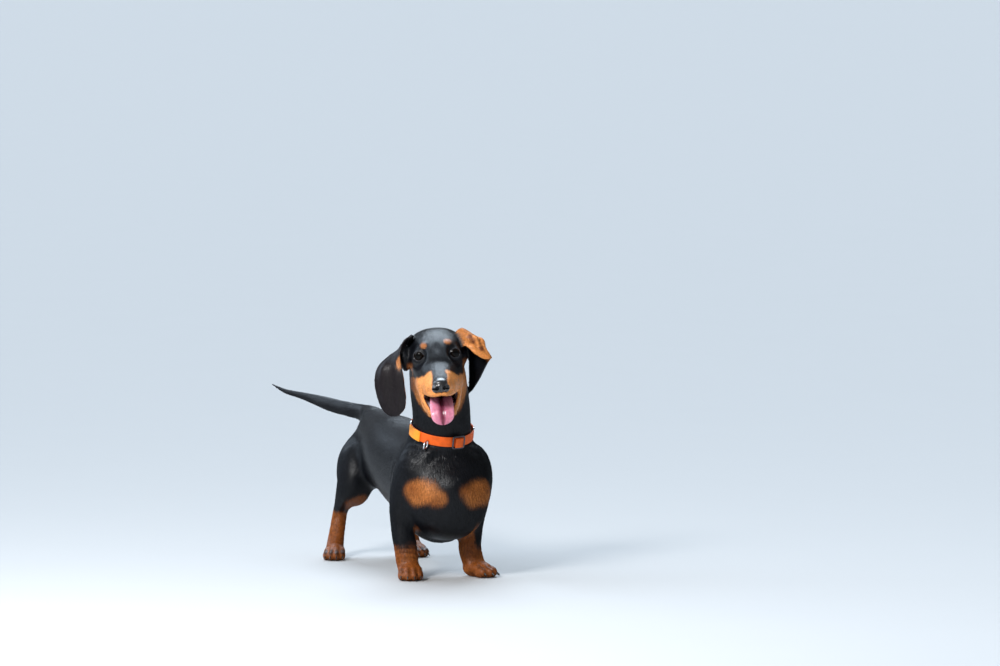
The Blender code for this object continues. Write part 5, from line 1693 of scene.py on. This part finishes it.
def webbing_material(name, colour, dark):
    """Woven webbing: ribs along it and fine picks across, both from its map."""
    found, nodes, links, shader = new_material(name, 0.62, 0.35)
    place = nodes.new("ShaderNodeUVMap")
    place.uv_map = "weave"
    split = nodes.new("ShaderNodeSeparateXYZ")
    links.new(place.outputs["UV"], split.inputs["Vector"])
    waves = []
    for axis, count in (("X", WEAVE_PICKS), ("Y", WEAVE_RIBS)):
        scale = nodes.new("ShaderNodeMath")
        scale.operation = "MULTIPLY"
        scale.inputs[1].default_value = count * 2 * math.pi
        links.new(split.outputs[axis], scale.inputs[0])
        wave = nodes.new("ShaderNodeMath")
        wave.operation = "SINE"
        links.new(scale.outputs[0], wave.inputs[0])
        waves.append(wave)
    weave = nodes.new("ShaderNodeMath")
    weave.operation = "MULTIPLY"
    links.new(waves[0].outputs[0], weave.inputs[0])
    links.new(waves[1].outputs[0], weave.inputs[1])
    spread = nodes.new("ShaderNodeMapRange")
    spread.inputs["From Min"].default_value = -1.0
    links.new(weave.outputs[0], spread.inputs["Value"])
    mix = nodes.new("ShaderNodeMix")
    mix.data_type = "RGBA"
    mix.inputs["A"].default_value = (*dark, 1)
    mix.inputs["B"].default_value = (*colour, 1)
    links.new(spread.outputs["Result"], mix.inputs["Factor"])
    noise = noise_node(nodes, links, 180)
    links.new(varied(nodes, links, mix.outputs["Result"], noise.outputs["Fac"], 0.85, 1.1), shader.inputs["Base Color"])
    bump_from(nodes, links, shader, spread.outputs["Result"], 0.25, 0.7)
    shader.inputs["Sheen Weight"].default_value = 0.05
    return found


def metal_material(name, colour, roughness):
    found, nodes, links, shader = new_material(name, roughness)
    base = nodes.new("ShaderNodeRGB")
    base.outputs[0].default_value = (*colour, 1)
    shader.inputs["Metallic"].default_value = 1.0
    noise = noise_node(nodes, links, 350)
    links.new(varied(nodes, links, base.outputs[0], noise.outputs["Fac"], 0.8, 1.1), shader.inputs["Base Color"])
    bump_from(nodes, links, shader, noise.outputs["Fac"], 0.05, 0.4)
    return found


def band_mesh(name, start, end, out, height, thickness):
    """A length of webbing round the neck with soft edges, and a map in millimetres for its weave."""
    steps = max(6, int(abs(end - start) / BAND_STEP))
    angles = np.linspace(0, 2 * math.pi, BAND_SIDES, endpoint=False)
    depth = np.sign(np.sin(angles)) * np.abs(np.sin(angles)) ** 0.35 * thickness / 2 - thickness / 2
    up = np.sign(np.cos(angles)) * np.abs(np.cos(angles)) ** 0.16 * height / 2
    rings = []
    for turn in np.linspace(start, end, steps + 1):
        section = np.stack([np.zeros(BAND_SIDES), depth, up], axis=1)
        rings.append(moved(section, collar_frame(turn, out)))
    rings = np.array(rings)
    points, faces = skin_of_rings(rings)
    band = mesh_object(name, points, faces)
    length = np.radians(np.linspace(start, end, steps + 1)) * COLLAR_OVAL[0]
    flat = np.stack(np.broadcast_arrays(length[:, None], up[None]), axis=2).reshape(-1, 2)
    flat = np.concatenate([flat, [[length[0], 0], [length[-1], 0]]])
    tidy_normals(band)
    layer = band.data.uv_layers.new(name="weave")
    corner = np.empty(len(band.data.loops), int)
    band.data.loops.foreach_get("vertex_index", corner)
    layer.data.foreach_set("uv", flat[corner].ravel())
    smooth_shading(band.data)
    return band


def make_collar():
    """The collar's webbing, keeper, slider, wire loops and D-ring."""
    orange = webbing_material("orange webbing", WEBBING_ORANGE, WEBBING_DARK)
    amber = webbing_material("amber webbing", WEBBING_AMBER, WEBBING_ORANGE)
    right, left = LOOP_TURNS
    clear = math.degrees((LOOP_SIZE[0] / 2 + LOOP_WIRE) / COLLAR_OVAL[0])
    for name, start, end in (("front", right, left), ("back", left, right + 360)):
        band = band_mesh("webbing_" + name, start + clear, end - clear, 0, BAND_HEIGHT, BAND_THICKNESS)
        band.data.materials.append(orange)
        settle(band, "collar_band_" + name, slot="orange_webbing")
    keeper = band_mesh("keeper", *KEEPER_TURNS, BAND_THICKNESS + 0.2, BAND_HEIGHT + KEEPER_OVERHANG, KEEPER_THICKNESS)
    keeper.data.materials.append(amber)
    settle(keeper, "collar_keeper", slot="amber_webbing")
    steel = metal_material("bright steel", STEEL_GREY, 0.22)
    for side, turn in zip(("right", "left"), LOOP_TURNS):
        frame_here = collar_frame(turn, BAND_THICKNESS / 2)
        loop = wire_object("loop_" + side, rectangle(*LOOP_SIZE), frame_here, LOOP_WIRE, LOOP_ROUNDING)
        loop.data.materials.append(steel)
        settle(loop, "collar_loop_" + side, slot="bright_steel")
    slider_frame = collar_frame(SLIDER_TURN, BAND_THICKNESS + 0.3 + SLIDER_WIRE)
    slider = wire_object("slider", rectangle(*SLIDER_SIZE), slider_frame, SLIDER_WIRE, SLIDER_ROUNDING)
    slider.data.materials.append(metal_material("gunmetal", GUNMETAL_GREY, 0.35))
    settle(slider, "collar_slider", slot="gunmetal")
    strap = band_mesh("strap_over_slider", SLIDER_TURN - 7, SLIDER_TURN + 7, BAND_THICKNESS + 0.3 + 2 * SLIDER_WIRE + 0.8, BAND_HEIGHT - 0.6, 1.1)
    strap.data.materials.append(orange)
    settle(strap, slot="orange_webbing")
    wide, high = RING_SIZE
    drop = Matrix.Translation((0, 0, 1 - BAND_HEIGHT / 2))
    ring_frame = collar_frame(RING_TURN, BAND_THICKNESS + 0.3 + RING_WIRE) @ turned(90) @ drop
    corners = [(0, 0, high / 2), (-wide, 0, high / 4), (-wide, 0, -high / 2), (0, 0, -high / 2)]
    ring = wire_object("d_ring", corners, ring_frame, RING_WIRE, RING_ROUNDING)
    ring.data.materials.append(steel)
    settle(ring, "collar_d_ring", slot="bright_steel")


def make_floor():
    half = FLOOR_HALF / MM
    floor = mesh_object("floor", [(-half, -half, 0), (half, -half, 0), (half, half, 0), (-half, half, 0)], [(0, 1, 2, 3)])
    found, nodes, links, shader = new_material("floor", 0.8, 0.2)
    base = nodes.new("ShaderNodeRGB")
    base.outputs[0].default_value = (*FLOOR_PALE, 1)
    noise = noise_node(nodes, links, 6)
    links.new(varied(nodes, links, base.outputs[0], noise.outputs["Fac"], 0.997, 1.003), shader.inputs["Base Color"])
    floor.data.materials.append(found)


def add_sun(name, side, height, strength, spread, colour):
    """A distant light from this side and height, in degrees."""
    light = bpy.data.lights.new(name, "SUN")
    light.energy = strength
    light.angle = math.radians(spread)
    light.color = colour
    lamp = bpy.data.objects.new(name, light)
    lamp.rotation_euler = (math.radians(90 - height), 0, math.radians(side))
    bpy.context.scene.collection.objects.link(lamp)


def add_softbox():
    """A small bright panel that faces the head and gives the eyes their light."""
    light = bpy.data.lights.new("softbox", "AREA")
    light.size = SOFTBOX_SIZE
    light.energy = SOFTBOX_POWER
    lamp = bpy.data.objects.new("softbox", light)
    side, height = math.radians(SOFTBOX_SIDE), math.radians(SOFTBOX_HEIGHT)
    toward = Vector((math.sin(side) * math.cos(height), -math.cos(side) * math.cos(height), math.sin(height)))
    lamp.location = TO_FRAME @ (Vector(HEAD_PLACE) * MM) + toward * SOFTBOX_DISTANCE
    lamp.rotation_euler = (math.radians(90 - SOFTBOX_HEIGHT), 0, side)
    bpy.context.scene.collection.objects.link(lamp)


def make_studio():
    make_floor()
    add_softbox()
    for light in LIGHTS:
        add_sun(*light)
    world = bpy.data.worlds.new("studio")
    world.use_nodes = True
    back = world.node_tree.nodes["Background"]
    back.inputs["Color"].default_value = (*WORLD_PALE, 1)
    back.inputs["Strength"].default_value = WORLD_STRENGTH
    bpy.context.scene.world = world


def make_camera():
    side, height = math.radians(CAMERA_SIDE), math.radians(CAMERA_HEIGHT)
    toward = Vector((math.sin(side) * math.cos(height), -math.cos(side) * math.cos(height), math.sin(height)))
    data = bpy.data.cameras.new("camera")
    data.lens, data.sensor_width, data.clip_end = CAMERA_LENS, CAMERA_SENSOR, 500
    camera = bpy.data.objects.new("camera", data)
    camera.location = TO_FRAME @ (toward * CAMERA_DISTANCE)
    camera.rotation_euler = (math.radians(90 - CAMERA_DIP), 0, math.radians(-CAMERA_TURN))
    bpy.context.scene.collection.objects.link(camera)
    bpy.context.scene.camera = camera


def dress(ears):
    """The skin and the coat over it."""
    skin = make_skin(ears)
    mesh = skin.data
    points, normals = points_of(mesh), normals_of(mesh)
    lining = mouth_lining(points, normals)
    colours = coat_colours(points, normals, ears)
    colours += (lining_colours(points) - colours) * lining[:, None]
    set_colours(mesh, "coat_colour", colours)
    set_values(mesh, "lining", lining)
    smooth_shading(mesh)
    mesh.materials.append(skin_material())
    for piece in make_coat(skin, ears):
        settle(piece, slot="black_coat")
    settle(skin, *FLESH_NODES, slot="black_coat")


TO_FRAME = to_frame()
make_camera()
make_studio()
dress(ear_grids())
for eye_side, eye_name in ((-1, "right"), (1, "left")):
    make_eye(eye_side, eye_name)
    make_lid_rim(eye_side, eye_name)
make_nose()
make_tongue()
make_claws()
make_collar()
bpy.context.scene.view_settings.view_transform = "Standard"
bpy.context.view_layer.update()
